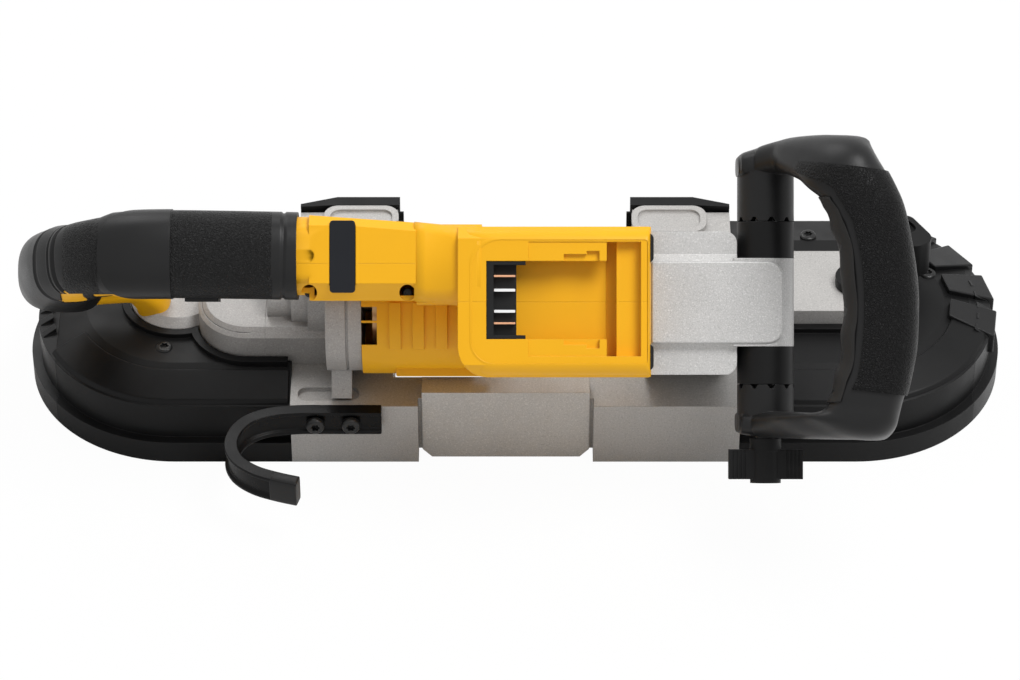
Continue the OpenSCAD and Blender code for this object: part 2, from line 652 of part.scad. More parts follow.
// Idler carriage with its axle, slide plate, spring and lever
module idler_carriage() color(cast_mid) wheel_frame() {
    translate([wheel_x, 0, 0]) {
        translate([0, 0, -8.5]) cylinder(r = idler_axle_r, h = 28);
        translate([0, 0, -10.5]) cylinder(r = 11, h = 2);
    }
    difference() {
        span([wheel_x - 16, -carriage_w / 2, plate_low + 0.5], [wheel_x + 16, carriage_w / 2, 27]);
        // pocket round the lever's cam
        span([lever_x + cam_off - cam_r - 1.2, -cam_off - cam_r - 0.6, 20],
            [lever_x + cam_off + cam_r + 1.2, cam_off + cam_r + 0.6, 30]);
    }
}
module slide_plate() color(steel) wheel_frame() difference() {
    translate([0, 0, plate_low - 2.5]) linear_extrude(2.5) slide_outline(1);
    span([wheel_x - slide_travel - idler_axle_r - 0.5, -idler_axle_r - 0.4, 5],
        [wheel_x, idler_axle_r + 0.4, 15]);
    translate([wheel_x, 0, 5]) cylinder(r = idler_axle_r + 0.4, h = 12);
    translate([wheel_x - slide_travel - 0.5, 0, 5]) cylinder(r = idler_axle_r + 0.4, h = 12);
}
module tension_spring() color(steel) wheel_frame() difference() {
    translate([0, 0, 20.5]) rod_x(slide_x0 + 4, wheel_x - 16, spring_r);
    translate([0, 0, 20.5]) rod_x(slide_x0 + 3, wheel_x, spring_r - 1.5);
}
module tension_lever() color(black) wheel_frame() translate([lever_x, lever_y, 0]) {
    translate([0, 0, 26]) cylinder(r = lever_pin_r, h = slide_top - 22);
    translate([cam_off, 0, 21]) cylinder(r = cam_r, h = 5.5);
    rotate([0, 0, 31]) {
        translate([0, 0, slide_top + gap]) linear_extrude(5) {
            circle(11);
            translate([0, -7]) square([lever_reach, 14]);
        }
        // grip block with a dished top and a stub on its side
        difference() {
            translate([lever_reach, 0, slide_top + gap]) linear_extrude(22) pad([15, 26], 6);
            translate([lever_reach, 4, slide_top + 20]) linear_extrude(8) pad([9, 11], 4);
        }
    }
}

// Blade: one closed loop, twisted between the wheels and the guides
function ease(t) = t * t * (3 - 2 * t);
function cut_twist(x) = abs(x) <= guide_x - 4 ? twist
    : twist * ease((wheel_x - 8 - min(abs(x), wheel_x - 8)) / (wheel_x - guide_x - 4));
// Each station is [x, y, direction of the face normal in the wheel plane, twist, tooth]
function arc_stations(cx, a0, a1, n) = [for (i = [0 : n]) let (a = a0 + (a1 - a0) * i / n)
    [cx + blade_y * cos(a), blade_y * sin(a), a, 0, 0]];
function side_x(i) = wheel_x - i * (wheel_x - throat_x - 1) / 17;
function cut_stations() = concat(
    [for (i = [1 : 16]) [side_x(i), blade_y, 90, cut_twist(side_x(i)), 0]],
    [for (i = [0 : 2 * tooth_n]) let (x = tooth_n * tooth_pitch / 2 - i * tooth_pitch / 2)
        [x, blade_y, 90, twist, i % 2]],
    [for (i = [16 : -1 : 1]) [-side_x(i), blade_y, 90, cut_twist(side_x(i)), 0]]);
function loop_stations() = concat(arc_stations(wheel_x, -90, 90, 24), cut_stations(),
    arc_stations(-wheel_x, 90, 270, 24));
// Four corners of the blade at a station
function blade_ring(s) = let (n = [cos(s[2]), sin(s[2]), 0], c = cos(s[3]), d = sin(s[3]),
        w = [-d * n[0], -d * n[1], c], f = [c * n[0], c * n[1], d], o = [s[0], s[1], 0],
        top = blade_w / 2 - tooth_depth * s[4])
    [for (q = [[1, -1], [1, 1], [-1, 1], [-1, -1]])
        o + (q[0] > 0 ? top : -blade_w / 2) * w + q[1] * blade_t / 2 * f];
module blade() color(steel) wheel_frame() {
    rings = [for (s = loop_stations()) blade_ring(s)];
    n = len(rings);
    polyhedron(points = [for (r = rings) for (p = r) p],
        faces = [for (i = [0 : n - 1], j = [0 : 3]) let (a = 4 * i, b = 4 * ((i + 1) % n), k = (j + 1) % 4)
            each [[a + j, a + k, b + j], [a + k, b + k, b + j]]], convexity = 8);
}

// Blade guides: a bracket under each leg end, two side rollers and one back-up roller
module cut_frame(side) wheel_frame() translate([side * guide_x, blade_y, 0]) rotate([twist, 0, 0]) children();
// In the cut frame, Z points the way the teeth point and Y is square to the blade's face
module guide_bracket(side) intersection() {
    cut_frame(side) {
        difference() {
            span([-guide_w / 2, -13, back_z - 2.6], [guide_w / 2, 24, back_z]);
            span([-side * 6 - backup_r - 1, -3.8, back_z - 4], [-side * 6 + backup_r + 1, 3.8, back_z + 1]);
        }
        for (s = [-1, 1]) translate([side * 5, s * side_reach, back_z - 1]) cylinder(r = 2.5, h = 12.4);
        for (s = [-1, 1]) translate([-side * 6 - 3, s * 5 - 1, back_z - 1]) cube([6, 2, 4.5]);
        translate([-side * 6, -4.6, -blade_w / 2 - blade_gap - backup_r]) rotate([-90, 0, 0])
            cylinder(r = 1.5, h = 9.2);
    }
    wheel_frame() span([-big, -big, -big], [big, guard_r + 2.9, plate_low]);
}
module rear_guide() color(black) guide_bracket(-1);
module front_guide() color(black) guide_bracket(1);
module side_roller(side, face) color(steel) cut_frame(side)
    translate([side * 5, face * side_reach, -blade_w / 2]) difference() {
        cylinder(r = roller_r, h = blade_w - 4.5);
        translate([0, 0, -1]) cylinder(r = 2.5 + fit, h = blade_w);
    }
module backup_roller(side) color(steel) cut_frame(side)
    translate([-side * 6, 0, -blade_w / 2 - blade_gap - backup_r]) rotate([90, 0, 0]) difference() {
        cylinder(r = backup_r, h = 7, center = true);
        cylinder(r = 1.5 + fit, h = 9, center = true);
    }
module rear_roller_low() side_roller(-1, -1);
module rear_roller_high() side_roller(-1, 1);
module rear_backup() backup_roller(-1);
module front_roller_low() side_roller(1, -1);
module front_roller_high() side_roller(1, 1);
module front_backup() backup_roller(1);
module work_stop() color(black) wheel_frame() difference() {
    span([-throat_x - 1, 20, -guard_low + 7], [-throat_x + 3, 56, plate_top + 12]);
    span([-throat_x - 2, 30, -guard_low + 14], [-throat_x + 4, 36, plate_top + 4]);
}

// Motor and dock housing, in the tool frame
module block_outline(t) {
    x = dock_x[0] + t;
    r = dock_corner - t;
    difference() {
        translate([x, dock_y[0] + t]) square([dock_x[1] - t - x, housing_w - 2 * t]);
        // large round corner towards the motor
        translate([x - 1, dock_y[0] + t - 1]) square(r + 1);
    }
    translate([x + r, dock_y[0] + t + r]) circle(r);
}
module housing_solid(t) {
    translate([0, housing_mid, motor_up]) rod_x(case_x[0] + t, dock_x[0] + 8, motor_case_r - t);
    // dock block: straight walls under chamfered top edges
    intersection() {
        translate([0, 0, dock_low + t]) linear_extrude(dock_top - dock_low - 2 * t) block_outline(t);
        rotate([90, 0, 90]) translate([0, 0, dock_x[0] - 1])
            linear_extrude(dock_x[1] - dock_x[0] + 2) polygon([
                [dock_y[0] + t, 0], [dock_y[1] - t, 0], [dock_y[1] - t, dock_top - dock_edge - t],
                [dock_y[1] - dock_edge - t, dock_top - t], [dock_y[0] + dock_edge + t, dock_top - t],
                [dock_y[0] + t, dock_top - dock_edge - t]]);
        translate([0, dock_y[1] + 1, 0]) rotate([90, 0, 0]) linear_extrude(housing_w + 2) polygon([
            [dock_x[0] - 1, 0], [dock_x[1] - t, 0], [dock_x[1] - t, dock_top - dock_edge - t],
            [dock_x[1] - end_edge - t, dock_top - t], [dock_x[0] - 1, dock_top - t]]);
    }
    // saddle from the motor casing to the neck
    rotate([90, 0, 90]) translate([0, 0, neck_x + t]) linear_extrude(dock_x[0] + 12 - neck_x - t) polygon([
        [saddle_y[0] + t, motor_up], [saddle_y[1] - t, motor_up], [saddle_y[1] - t, saddle_top - 8 - t / 2],
        [saddle_y[1] - 6 - t / 2, saddle_top - t], [saddle_y[0] + 8 + t / 2, saddle_top - t],
        [saddle_y[0] + t, saddle_top - 10 - t / 2]]);
}
module dock_recess() {
    // well under the rails, gap between them, channel and ledge at the mouth
    span([well_x[0], rail_y[0], dock_floor], [rail_x[1] + 5, rail_y[1], dock_top + 1]);
    span([well_x[0], well_y[0], dock_floor], [rail_x[1], well_y[1], dock_top - rail_t - 0.5]);
    span([rail_x[0], well_y[0], dock_top - 0.5], [rail_x[1], well_y[1], dock_top + 1]);
    span([rail_x[1], well_y[0], dock_floor - 2], [rail_x[1] + 5, well_y[1], dock_top + 1]);
    span([rail_x[1] + 4, well_y[0], dock_top - 6], [well_x[1], well_y[1], dock_top + 1]);
    // steps in the rails
    for (r = [[rail_y[1] - 1, rail_y[1] + 3.4, 24.2, 35.8], [rail_y[1] - 1, rail_y[1] + 5, 35.7, 42],
              [rail_y[0] - 2.8, rail_y[0] + 1, 24.2, 35.8], [rail_y[0] - 4.6, rail_y[0] + 1, 35.7, 42]])
        span([r[2], r[0], dock_top - 3], [r[3], r[1], dock_top + 1]);
    // slots in the end corners
    for (y = end_slot_y) span([dock_x[1] - 4, y[0], dock_top - 15], [dock_x[1] + 1, y[1], dock_top - 3]);
}
module housing() difference() {
    union() {
        housing_solid(0);
        // ribs over the motor
        translate([0, housing_mid, motor_up]) for (x = rib_x) intersection() {
            rod_x(x, x + 6, motor_case_r + 2);
            span([x - 1, -24, 0], [x + 7, 0, 60]);
        }
    }
    difference() {
        housing_solid(shell_t);
        span([dock_x[0] + 8, dock_y[0], dock_floor - shell_t - 2], [dock_x[1], dock_y[1], dock_top]);
    }
    dock_recess();
    // open front of the motor barrel at the flange, and its two windows
    translate([0, housing_mid, motor_up]) rod_x(case_x[0] - 1, case_x[0] + 4, motor_case_r - shell_t - 1);
    for (y = window_y) span([case_x[0] - 1, y[0], motor_up + 12], [case_x[0] + 8, y[1], motor_up + 60]);
}
module motor_case_top() color(yellow) tool_frame() intersection() {
    housing();
    span([-big, split_y, -big], [big, big, big]);
}
module motor_case_side() color(yellow) tool_frame() intersection() {
    housing();
    span([-big, -big, -big], [big, split_y, big]);
}
module terminal_block() color(black) tool_frame() {
    span([well_x[0] + 0.1, rail_y[0] + 0.1, dock_floor], [0.4, rail_y[1] - 0.1, dock_top - 6]);
    span([well_x[0] + 0.1, rail_y[0] + 0.1, dock_floor], [-11, rail_y[1] - 0.1, dock_top - 0.5]);
    for (y = [[rail_y[0] + 0.1, rail_y[0] + 2], [rail_y[1] - 2, rail_y[1] - 0.1]])
        span([well_x[0] + 0.1, y[0], dock_top - 5], [5, y[1], dock_top - 0.5]);
}
module contact_blades() color(copper) tool_frame()
    for (y = contact_y) span([-10.9, y - 0.5, dock_top - 6], [-0.1, y + 0.5, dock_top - 1.5]);

// Rear handle, in the tool frame
module grip_joint(p, extra) translate([p[0], p[1], p[2]])
    scale([p[4] + extra, p[3] + extra, p[4] + extra] / 20) sphere(20, $fn = 20);
module grip_run(a, b, extra) for (i = [a : b - 1]) hull() {
    grip_joint(grip_path[i], extra);
    grip_joint(grip_path[i + 1], extra);
}
module neck_solid(t) rotate([90, 0, 90]) translate([0, 0, grip_path[0][0] + t])
    linear_extrude(neck_x - grip_path[0][0] - t) polygon([
        [neck_y[0] + t, neck_up[0] + 8], [neck_y[0] + t, neck_up[1] - 9],
        [neck_y[0] + 8.5 + t / 2, neck_up[1] - t], [neck_y[1] - 5.3 - t / 2, neck_up[1] - t],
        [neck_y[1] - t, neck_up[1] - 6], [neck_y[1] - t, neck_up[0] + 8], [neck_y[1] - 8, neck_up[0] + t],
        [neck_y[0] + 8, neck_up[0] + t]]);
module handle_solid(inset) {
    neck_solid(inset);
    grip_run(0, 5, -inset);
    if (inset == 0) hull() {
        grip_joint(grip_path[5], -3);
        translate(strut_at) sphere(strut_r, $fn = 16);
    }
}
module handle_half(side) intersection() {
    tool_frame() difference() {
        handle_solid(0);
        handle_solid(shell_t);
        span([trigger_x[0] - 4, trigger_y[0] - gap, trigger_up[0] - gap],
            [trigger_x[1] + 20, trigger_y[1] + gap, trigger_up[1] + gap]);
        span([lock_x[0] - gap, grip_mid, lock_up[0] - gap], [lock_x[1] + gap, big, lock_up[1] + gap]);
        // bed of the plate on the neck
        translate([plate_at[0], plate_at[1], neck_up[1] - 1]) linear_extrude(2) pad(plate_size, 2);
        // counterbores of the two shell screws
        for (x = shell_screw_x) translate([x, neck_y[0] + 4, neck_up[1] - 9]) cylinder(r = 4, h = 20);
    }
    tool_frame() span([-big, side > 0 ? split_grip : -big, -big],
        [neck_x - 0.1, side > 0 ? big : split_grip, big]);
    wheel_frame() span([-big, -big, hub_top + 0.2], [big, big, big]);
}
module handle_shell_top() color(yellow) handle_half(1);
module handle_shell_side() color(yellow) handle_half(-1);
module rear_grip() color(rubber) tool_frame() difference() {
    intersection() {
        grip_run(0, 4, grip_t);
        span([-big, -big, 0], [grip_path[0][0] - 4, big, big]);
    }
    grip_run(0, 5, 0);
    neck_solid(0);
    span([lock_x[0] - 1, grip_mid, lock_up[0] - 1], [lock_x[1] + 1, big, lock_up[1] + 1]);
    // the yellow shell shows along the low side, and the trigger's side is open
    span([-232, -big, 60], [-192, grip_mid - 17, 150]);
    span([-big, -big, 0], [trigger_x[1] + 40, grip_mid - 19, 100]);
    span([trigger_x[0] - 1, trigger_y[0] - 2, 66], [trigger_x[1] + 40, trigger_y[1] + 2, trigger_up[1] + 2]);
}
module handle_foot() color(rubber) tool_frame() difference() {
    span([-167, 14, 132], [-150, 26, 150]);
    grip_run(0, 1, grip_t);
}
module trigger() color(black) tool_frame()
    span([trigger_x[0], trigger_y[0], trigger_up[0]], [trigger_x[1], trigger_y[1], trigger_up[1]]);
module lock_button() color(black) tool_frame()
    span([lock_x[0], grip_mid + 4, lock_up[0]], [lock_x[1], grip_mid + 17, lock_up[1]]);
module switch_body() color(black) tool_frame()
    span([trigger_x[0] - 21.2, grip_mid - 13, trigger_up[0]],
        [trigger_x[0] - 6, grip_mid + 3, trigger_up[1] - 4]);

// Front bridge, from the frame plate up to the handle boss
module front_bridge() color(cast_light) difference() {
    tool_frame() {
        difference() {
            union() {
                translate([bridge_x[0], 0, -20]) linear_extrude(panel_low + 20) bridge_outline(0);
                rotate([90, 0, 90]) translate([0, 0, bridge_x[0]])
                    linear_extrude(bridge_x[1] - bridge_x[0]) polygon([
                    [-10.1, panel_low - 1], [-10.1, panel_low], [-5, bridge_top], [32.3, bridge_top],
                    [37.9, panel_low], [37.9, panel_low - 1]]);
            }
            translate([bridge_x[0], 0, -30]) linear_extrude(bridge_top + 23) bridge_outline(4);
        }
        difference() {
            union() {
                bar_y(boss_y[0], boss_y[1], barrel_r);
                span([bridge_x[1] - 2, boss_y[0], bridge_top - 2 * barrel_r],
                    [pivot_x, boss_y[1], bridge_top]);
                // panel that runs over the boss
                translate([(bridge_x[1] + 132) / 2, 13.6, pivot_up]) linear_extrude(barrel_r + 0.8)
                    pad([138 - bridge_x[1], 37.2], 7);
            }
            translate([pivot_x, -50, pivot_up]) rotate([-90, 0, 0]) cylinder(r = bolt_r + fit, h = 150);
        }
    }
    wheel_frame() span([-big, -big, -big], [big, big, plate_top]);
}
module bridge_outline(t) {
    w = bridge_x[1] - bridge_x[0] - t;
    r = 6 - t / 2;
    translate([t, bridge_y[0] + t]) square([w - t - r, bridge_y[1] - bridge_y[0] - 2 * t]);
    translate([t, bridge_y[0] + t + r]) square([w - t, bridge_y[1] - bridge_y[0] - 2 * t - 2 * r]);
    for (y = [bridge_y[0] + t + r, bridge_y[1] - t - r]) translate([w - r, y]) circle(r);
}

// Front handle
module bar_y(y0, y1, r, bore = 0) translate([pivot_x, y0, pivot_up]) rotate([-90, 0, 0]) difference() {
    cylinder(r = r, h = y1 - y0);
    if (bore > 0) translate([0, 0, -1]) cylinder(r = bore, h = y1 - y0 + 2);
}
module pivot_collars() color(black) tool_frame()
    for (c = collar_y) bar_y(c[0], c[1], barrel_r, bolt_r + fit);
// Disc of the handle along the across direction, with chamfered rims
module handle_disc(p) {
    translate([p[0], p[2] + 3, p[1]]) rotate([-90, 0, 0]) cylinder(r = p[4], h = p[3] - p[2] - 6, $fn = 28);
    translate([p[0], p[2], p[1]]) rotate([-90, 0, 0]) cylinder(r = p[4] - 3.5, h = p[3] - p[2], $fn = 28);
}
module notch_ring(y) translate([pivot_x, y, pivot_up]) for (k = [0 : notches - 1])
    rotate([0, k * 360 / notches, 0]) translate([0, 0, barrel_r]) rotate([0, 0, 45])
        cube([1.9, 1.9, 3], center = true);
module front_handle() color(black) tool_frame() difference() {
    union() {
        bar_y(collar_y[1][1] + gap, 80, barrel_r);
        bar_y(-50, collar_y[0][0] - gap, barrel_r);
        for (i = [0 : 2]) hull() {
            handle_disc(arm_high[i]);
            handle_disc(arm_high[i + 1]);
        }
        for (i = [0 : 1]) hull() {
            handle_disc(arm_low[i]);
            handle_disc(arm_low[i + 1]);
        }
        translate([grip_x, -40, grip_up]) rotate([-90, 0, 0]) cylinder(r = core_r, h = 110);
    }
    translate([pivot_x, -90, pivot_up]) rotate([-90, 0, 0]) cylinder(r = bolt_r + fit, h = 176);
    notch_ring(collar_y[1][1] + gap);
    notch_ring(collar_y[0][0] - gap);
}
module grip_shape() difference() {
    for (i = [0 : 5]) hull() {
        grip_disc(grip_line[i]);
        grip_disc(grip_line[i + 1]);
    }
    translate([grip_x, -90, grip_up]) rotate([-90, 0, 0]) cylinder(r = core_r, h = 200);
}
module grip_disc(p) translate([p[1], p[0] - 0.5, grip_up]) rotate([-90, 0, 0])
    cylinder(r = p[2], h = 1, $fn = 32);
module front_grip() color(rubber) tool_frame() grip_shape();
module pivot_bolt() color(steel) tool_frame() translate([pivot_x, -76, pivot_up]) rotate([-90, 0, 0])
    cylinder(r = bolt_r, h = 160);
module wing_knob() color(black) tool_frame() difference() {
    union() {
        bar_y(-62, handle_y - gap, 8);
        bar_y(-78, -61, 7.8);
        span([pivot_x - knob_w / 2, -76, pivot_up - 5], [pivot_x + knob_w / 2, -61, pivot_up + 5]);
    }
    bar_y(-77, -50, bolt_r + fit);
    // grooves across the wings
    for (s = [-1, 1], k = [0 : 3]) translate([pivot_x + s * (knob_w / 2 - 2 - 2 * k), -77, pivot_up - 10])
        for (u = [0, 14.5]) translate([-0.5, 0, u]) cube([1, 17, 5.5]);
}

// Hang hook and its screws, screws of the guards
module hook_outline() {
    translate([hook_bend[0], -guard_r - hook_t]) square([-70 - hook_bend[0], hook_t]);
    translate([hook_bend[0], -guard_r - hook_t / 2 - hook_bend_r]) {
        difference() {
            circle(hook_bend_r + hook_t / 2);
            circle(hook_bend_r - hook_t / 2);
            polygon([[0, 0], [0, 80], [80, 80], [80, -80],
                80 * [cos(90 + hook_sweep), sin(90 + hook_sweep)]]);
        }
        rotate(90 + hook_sweep) translate([hook_bend_r, 0]) {
            translate([-hook_t / 2, 0]) square([hook_t, hook_tip]);
            translate([0, hook_tip]) circle(hook_t / 2);
        }
    }
}
module hang_hook() color(black) wheel_frame() difference() {
    translate([0, 0, hook_mid - hook_w / 2]) linear_extrude(hook_w) hook_outline();
    for (x = hook_screw_x) translate([x, -guard_r - hook_t - 1, hook_mid]) rotate([-90, 0, 0])
        cylinder(r = hook_screw_r, h = hook_t + 2);
}
module hook_screws() color(black) wheel_frame() for (x = hook_screw_x)
    translate([x, -guard_r - hook_t, hook_mid]) rotate([-90, 0, 0]) {
        translate([0, 0, -3.5]) cylinder(r = 5, h = 3.5);
        cylinder(r = hook_screw_r, h = hook_t + cast_t);
    }
module guard_screws() color(black) wheel_frame() for (s = [-1, 1], p = guard_screw_at)
    translate([s * p[0], p[1], guard_top - 3]) cylinder(r = 2.2, h = 3.4);

main_frame();
spine_cover();
rear_guard();
front_guard();
rear_bumper();
front_bumper();
gear_case();
gear_head();
motor_case_top();
motor_case_side();
handle_shell_top();
handle_shell_side();
rear_grip();
handle_foot();
trigger();
lock_button();
switch_body();
terminal_block();
contact_blades();
stator();
rotor();
motor_shaft();
fan();
motor_bearings();
first_gear();
bevel_pinion();
bevel_ring();
cross_shaft();
gear_bearings();
final_gear();
drive_shaft();
drive_wheel();
drive_tyre();
drive_screw();
idler_carriage();
idler_wheel();
idler_tyre();
idler_bearings();
slide_plate();
tension_spring();
tension_lever();
blade();
rear_guide();
front_guide();
rear_roller_low();
rear_roller_high();
rear_backup();
front_roller_low();
front_roller_high();
front_backup();
work_stop();
hang_hook();
hook_screws();
guard_screws();
front_bridge();
pivot_collars();
front_handle();
front_grip();
pivot_bolt();
wing_knob();
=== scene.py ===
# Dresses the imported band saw: camera, light, finishes and the pieces that the solids leave out.
import json
import math

import bmesh
import bpy
from mathutils import Matrix, Vector

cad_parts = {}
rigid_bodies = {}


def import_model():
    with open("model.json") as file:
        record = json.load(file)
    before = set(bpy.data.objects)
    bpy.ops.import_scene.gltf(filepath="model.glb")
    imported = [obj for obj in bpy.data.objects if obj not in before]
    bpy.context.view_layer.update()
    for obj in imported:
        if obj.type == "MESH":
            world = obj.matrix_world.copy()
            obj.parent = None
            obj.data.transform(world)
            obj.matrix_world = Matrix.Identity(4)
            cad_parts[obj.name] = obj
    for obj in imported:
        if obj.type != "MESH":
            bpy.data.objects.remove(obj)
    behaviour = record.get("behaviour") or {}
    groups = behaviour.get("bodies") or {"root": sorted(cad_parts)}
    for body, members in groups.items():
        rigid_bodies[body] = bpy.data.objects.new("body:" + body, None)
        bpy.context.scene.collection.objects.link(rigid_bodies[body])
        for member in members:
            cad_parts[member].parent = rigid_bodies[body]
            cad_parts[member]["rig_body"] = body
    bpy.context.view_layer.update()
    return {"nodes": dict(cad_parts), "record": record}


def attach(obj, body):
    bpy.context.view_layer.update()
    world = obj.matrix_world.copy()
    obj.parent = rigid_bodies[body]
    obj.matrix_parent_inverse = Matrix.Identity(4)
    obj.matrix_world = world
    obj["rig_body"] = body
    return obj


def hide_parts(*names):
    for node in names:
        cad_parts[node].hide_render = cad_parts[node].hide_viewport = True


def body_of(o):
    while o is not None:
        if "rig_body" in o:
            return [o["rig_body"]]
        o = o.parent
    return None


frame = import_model()
nodes = frame["nodes"]

MM = 0.001
# The saw lies on its wheel guards, and its handles stand up at this angle to the wheel axes
LEAN = math.radians(48.5)
# Middle of the wheels' span, at the middle of the blade's width: half way between the two tyres
MID = Vector((0.0, 50.292, 21.5)) * MM
# From millimetres in the tool's frame (x, across, up) and in the wheels' frame to the frame's metres
TOOL = Matrix.Translation(MID) @ Matrix.Rotation(LEAN, 4, "X") @ Matrix.Scale(MM, 4)
WHEEL = Matrix.Translation(MID) @ Matrix.Scale(MM, 4)

# Camera: straight down on the top of the handles, from 2.3 m, with a long lens
CAMERA_FAR = 2300.0
CAMERA_OVER = (-2.8, -5.4)    # the point of the tool's plane that the camera stands over
FIELD_W = 550.8               # how much of that plane the frame takes in, from side to side
SENSOR = 36.0

# Light: the world's share on diffuse surfaces, the floor's paint and how much of it the camera sees
# as pure white, and the two lamps by their place and size in metres and their power in watts
WORLD_LIGHT = 0.45
FLOOR_HALF = 4.0
FLOOR_DROP = 0.0005
FLOOR_PAINT = 0.86
FLOOR_WHITE = 0.97
LAMP_AIM = (0.0, 0.0, 0.05)
LAMPS = {"key_lamp": ((0.75, -0.3, 1.9), 1.0, 33.0), "rim_lamp": ((-0.6, 1.2, 1.5), 1.2, 11.0)}


def make_camera():
    data = bpy.data.cameras.new("camera")
    data.sensor_width = SENSOR
    data.lens = SENSOR * CAMERA_FAR / FIELD_W
    data.clip_start = 0.1
    data.clip_end = 20.0
    camera = bpy.data.objects.new("camera", data)
    bpy.context.scene.collection.objects.link(camera)
    place = Matrix.Translation(TOOL @ Vector((*CAMERA_OVER, CAMERA_FAR)))
    camera.matrix_world = place @ Matrix.Rotation(LEAN, 4, "X")
    bpy.context.scene.camera = camera


def make_lamp(name, place, size, power):
    data = bpy.data.lights.new(name, "AREA")
    data.shape = "DISK"
    data.size = size
    data.energy = power
    lamp = bpy.data.objects.new(name, data)
    bpy.context.scene.collection.objects.link(lamp)
    lamp.location = place
    lamp.rotation_euler = (Vector(LAMP_AIM) - Vector(place)).to_track_quat("-Z", "Y").to_euler()


def make_world():
    world = bpy.data.worlds.new("studio")
    bpy.context.scene.world = world
    world.use_nodes = True
    tree = world.node_tree
    background = tree.nodes["Background"]
    background.inputs["Color"].default_value = (1.0, 1.0, 1.0, 1.0)
    path = tree.nodes.new("ShaderNodeLightPath")
    seen = tree.nodes.new("ShaderNodeMath")
    seen.operation = "MAXIMUM"
    tree.links.new(path.outputs["Is Camera Ray"], seen.inputs[0])
    tree.links.new(path.outputs["Is Glossy Ray"], seen.inputs[1])
    both = tree.nodes.new("ShaderNodeMath")
    both.operation = "MAXIMUM"
    tree.links.new(seen.outputs[0], both.inputs[0])
    tree.links.new(path.outputs["Is Transmission Ray"], both.inputs[1])
    level = tree.nodes.new("ShaderNodeMapRange")
    level.inputs["To Min"].default_value = WORLD_LIGHT
    level.inputs["To Max"].default_value = 1.0
    tree.links.new(both.outputs[0], level.inputs["Value"])
    tree.links.new(level.outputs["Result"], background.inputs["Strength"])


def make_floor():
    bm = bmesh.new()
    bmesh.ops.create_grid(bm, x_segments=1, y_segments=1, size=FLOOR_HALF)
    mesh = bpy.data.meshes.new("floor")
    bm.to_mesh(mesh)
    bm.free()
    floor = bpy.data.objects.new("floor", mesh)
    bpy.context.scene.collection.objects.link(floor)
    floor.location = (0.0, 0.0, -FLOOR_DROP)
    material = bpy.data.materials.new("floor")
    material.use_nodes = True
    tree = material.node_tree
    tree.nodes.clear()
    out = tree.nodes.new("ShaderNodeOutputMaterial")
    paint = tree.nodes.new("ShaderNodeBsdfDiffuse")
    paint.inputs["Color"].default_value = (FLOOR_PAINT, FLOOR_PAINT, FLOOR_PAINT, 1.0)
    glow = tree.nodes.new("ShaderNodeEmission")
    path = tree.nodes.new("ShaderNodeLightPath")
    share = tree.nodes.new("ShaderNodeMath")
    share.operation = "MULTIPLY"
    share.inputs[1].default_value = FLOOR_WHITE
    mix = tree.nodes.new("ShaderNodeMixShader")
    tree.links.new(path.outputs["Is Camera Ray"], share.inputs[0])
    tree.links.new(share.outputs[0], mix.inputs["Fac"])
    tree.links.new(paint.outputs[0], mix.inputs[1])
    tree.links.new(glow.outputs[0], mix.inputs[2])
    tree.links.new(mix.outputs[0], out.inputs["Surface"])
    mesh.materials.append(material)



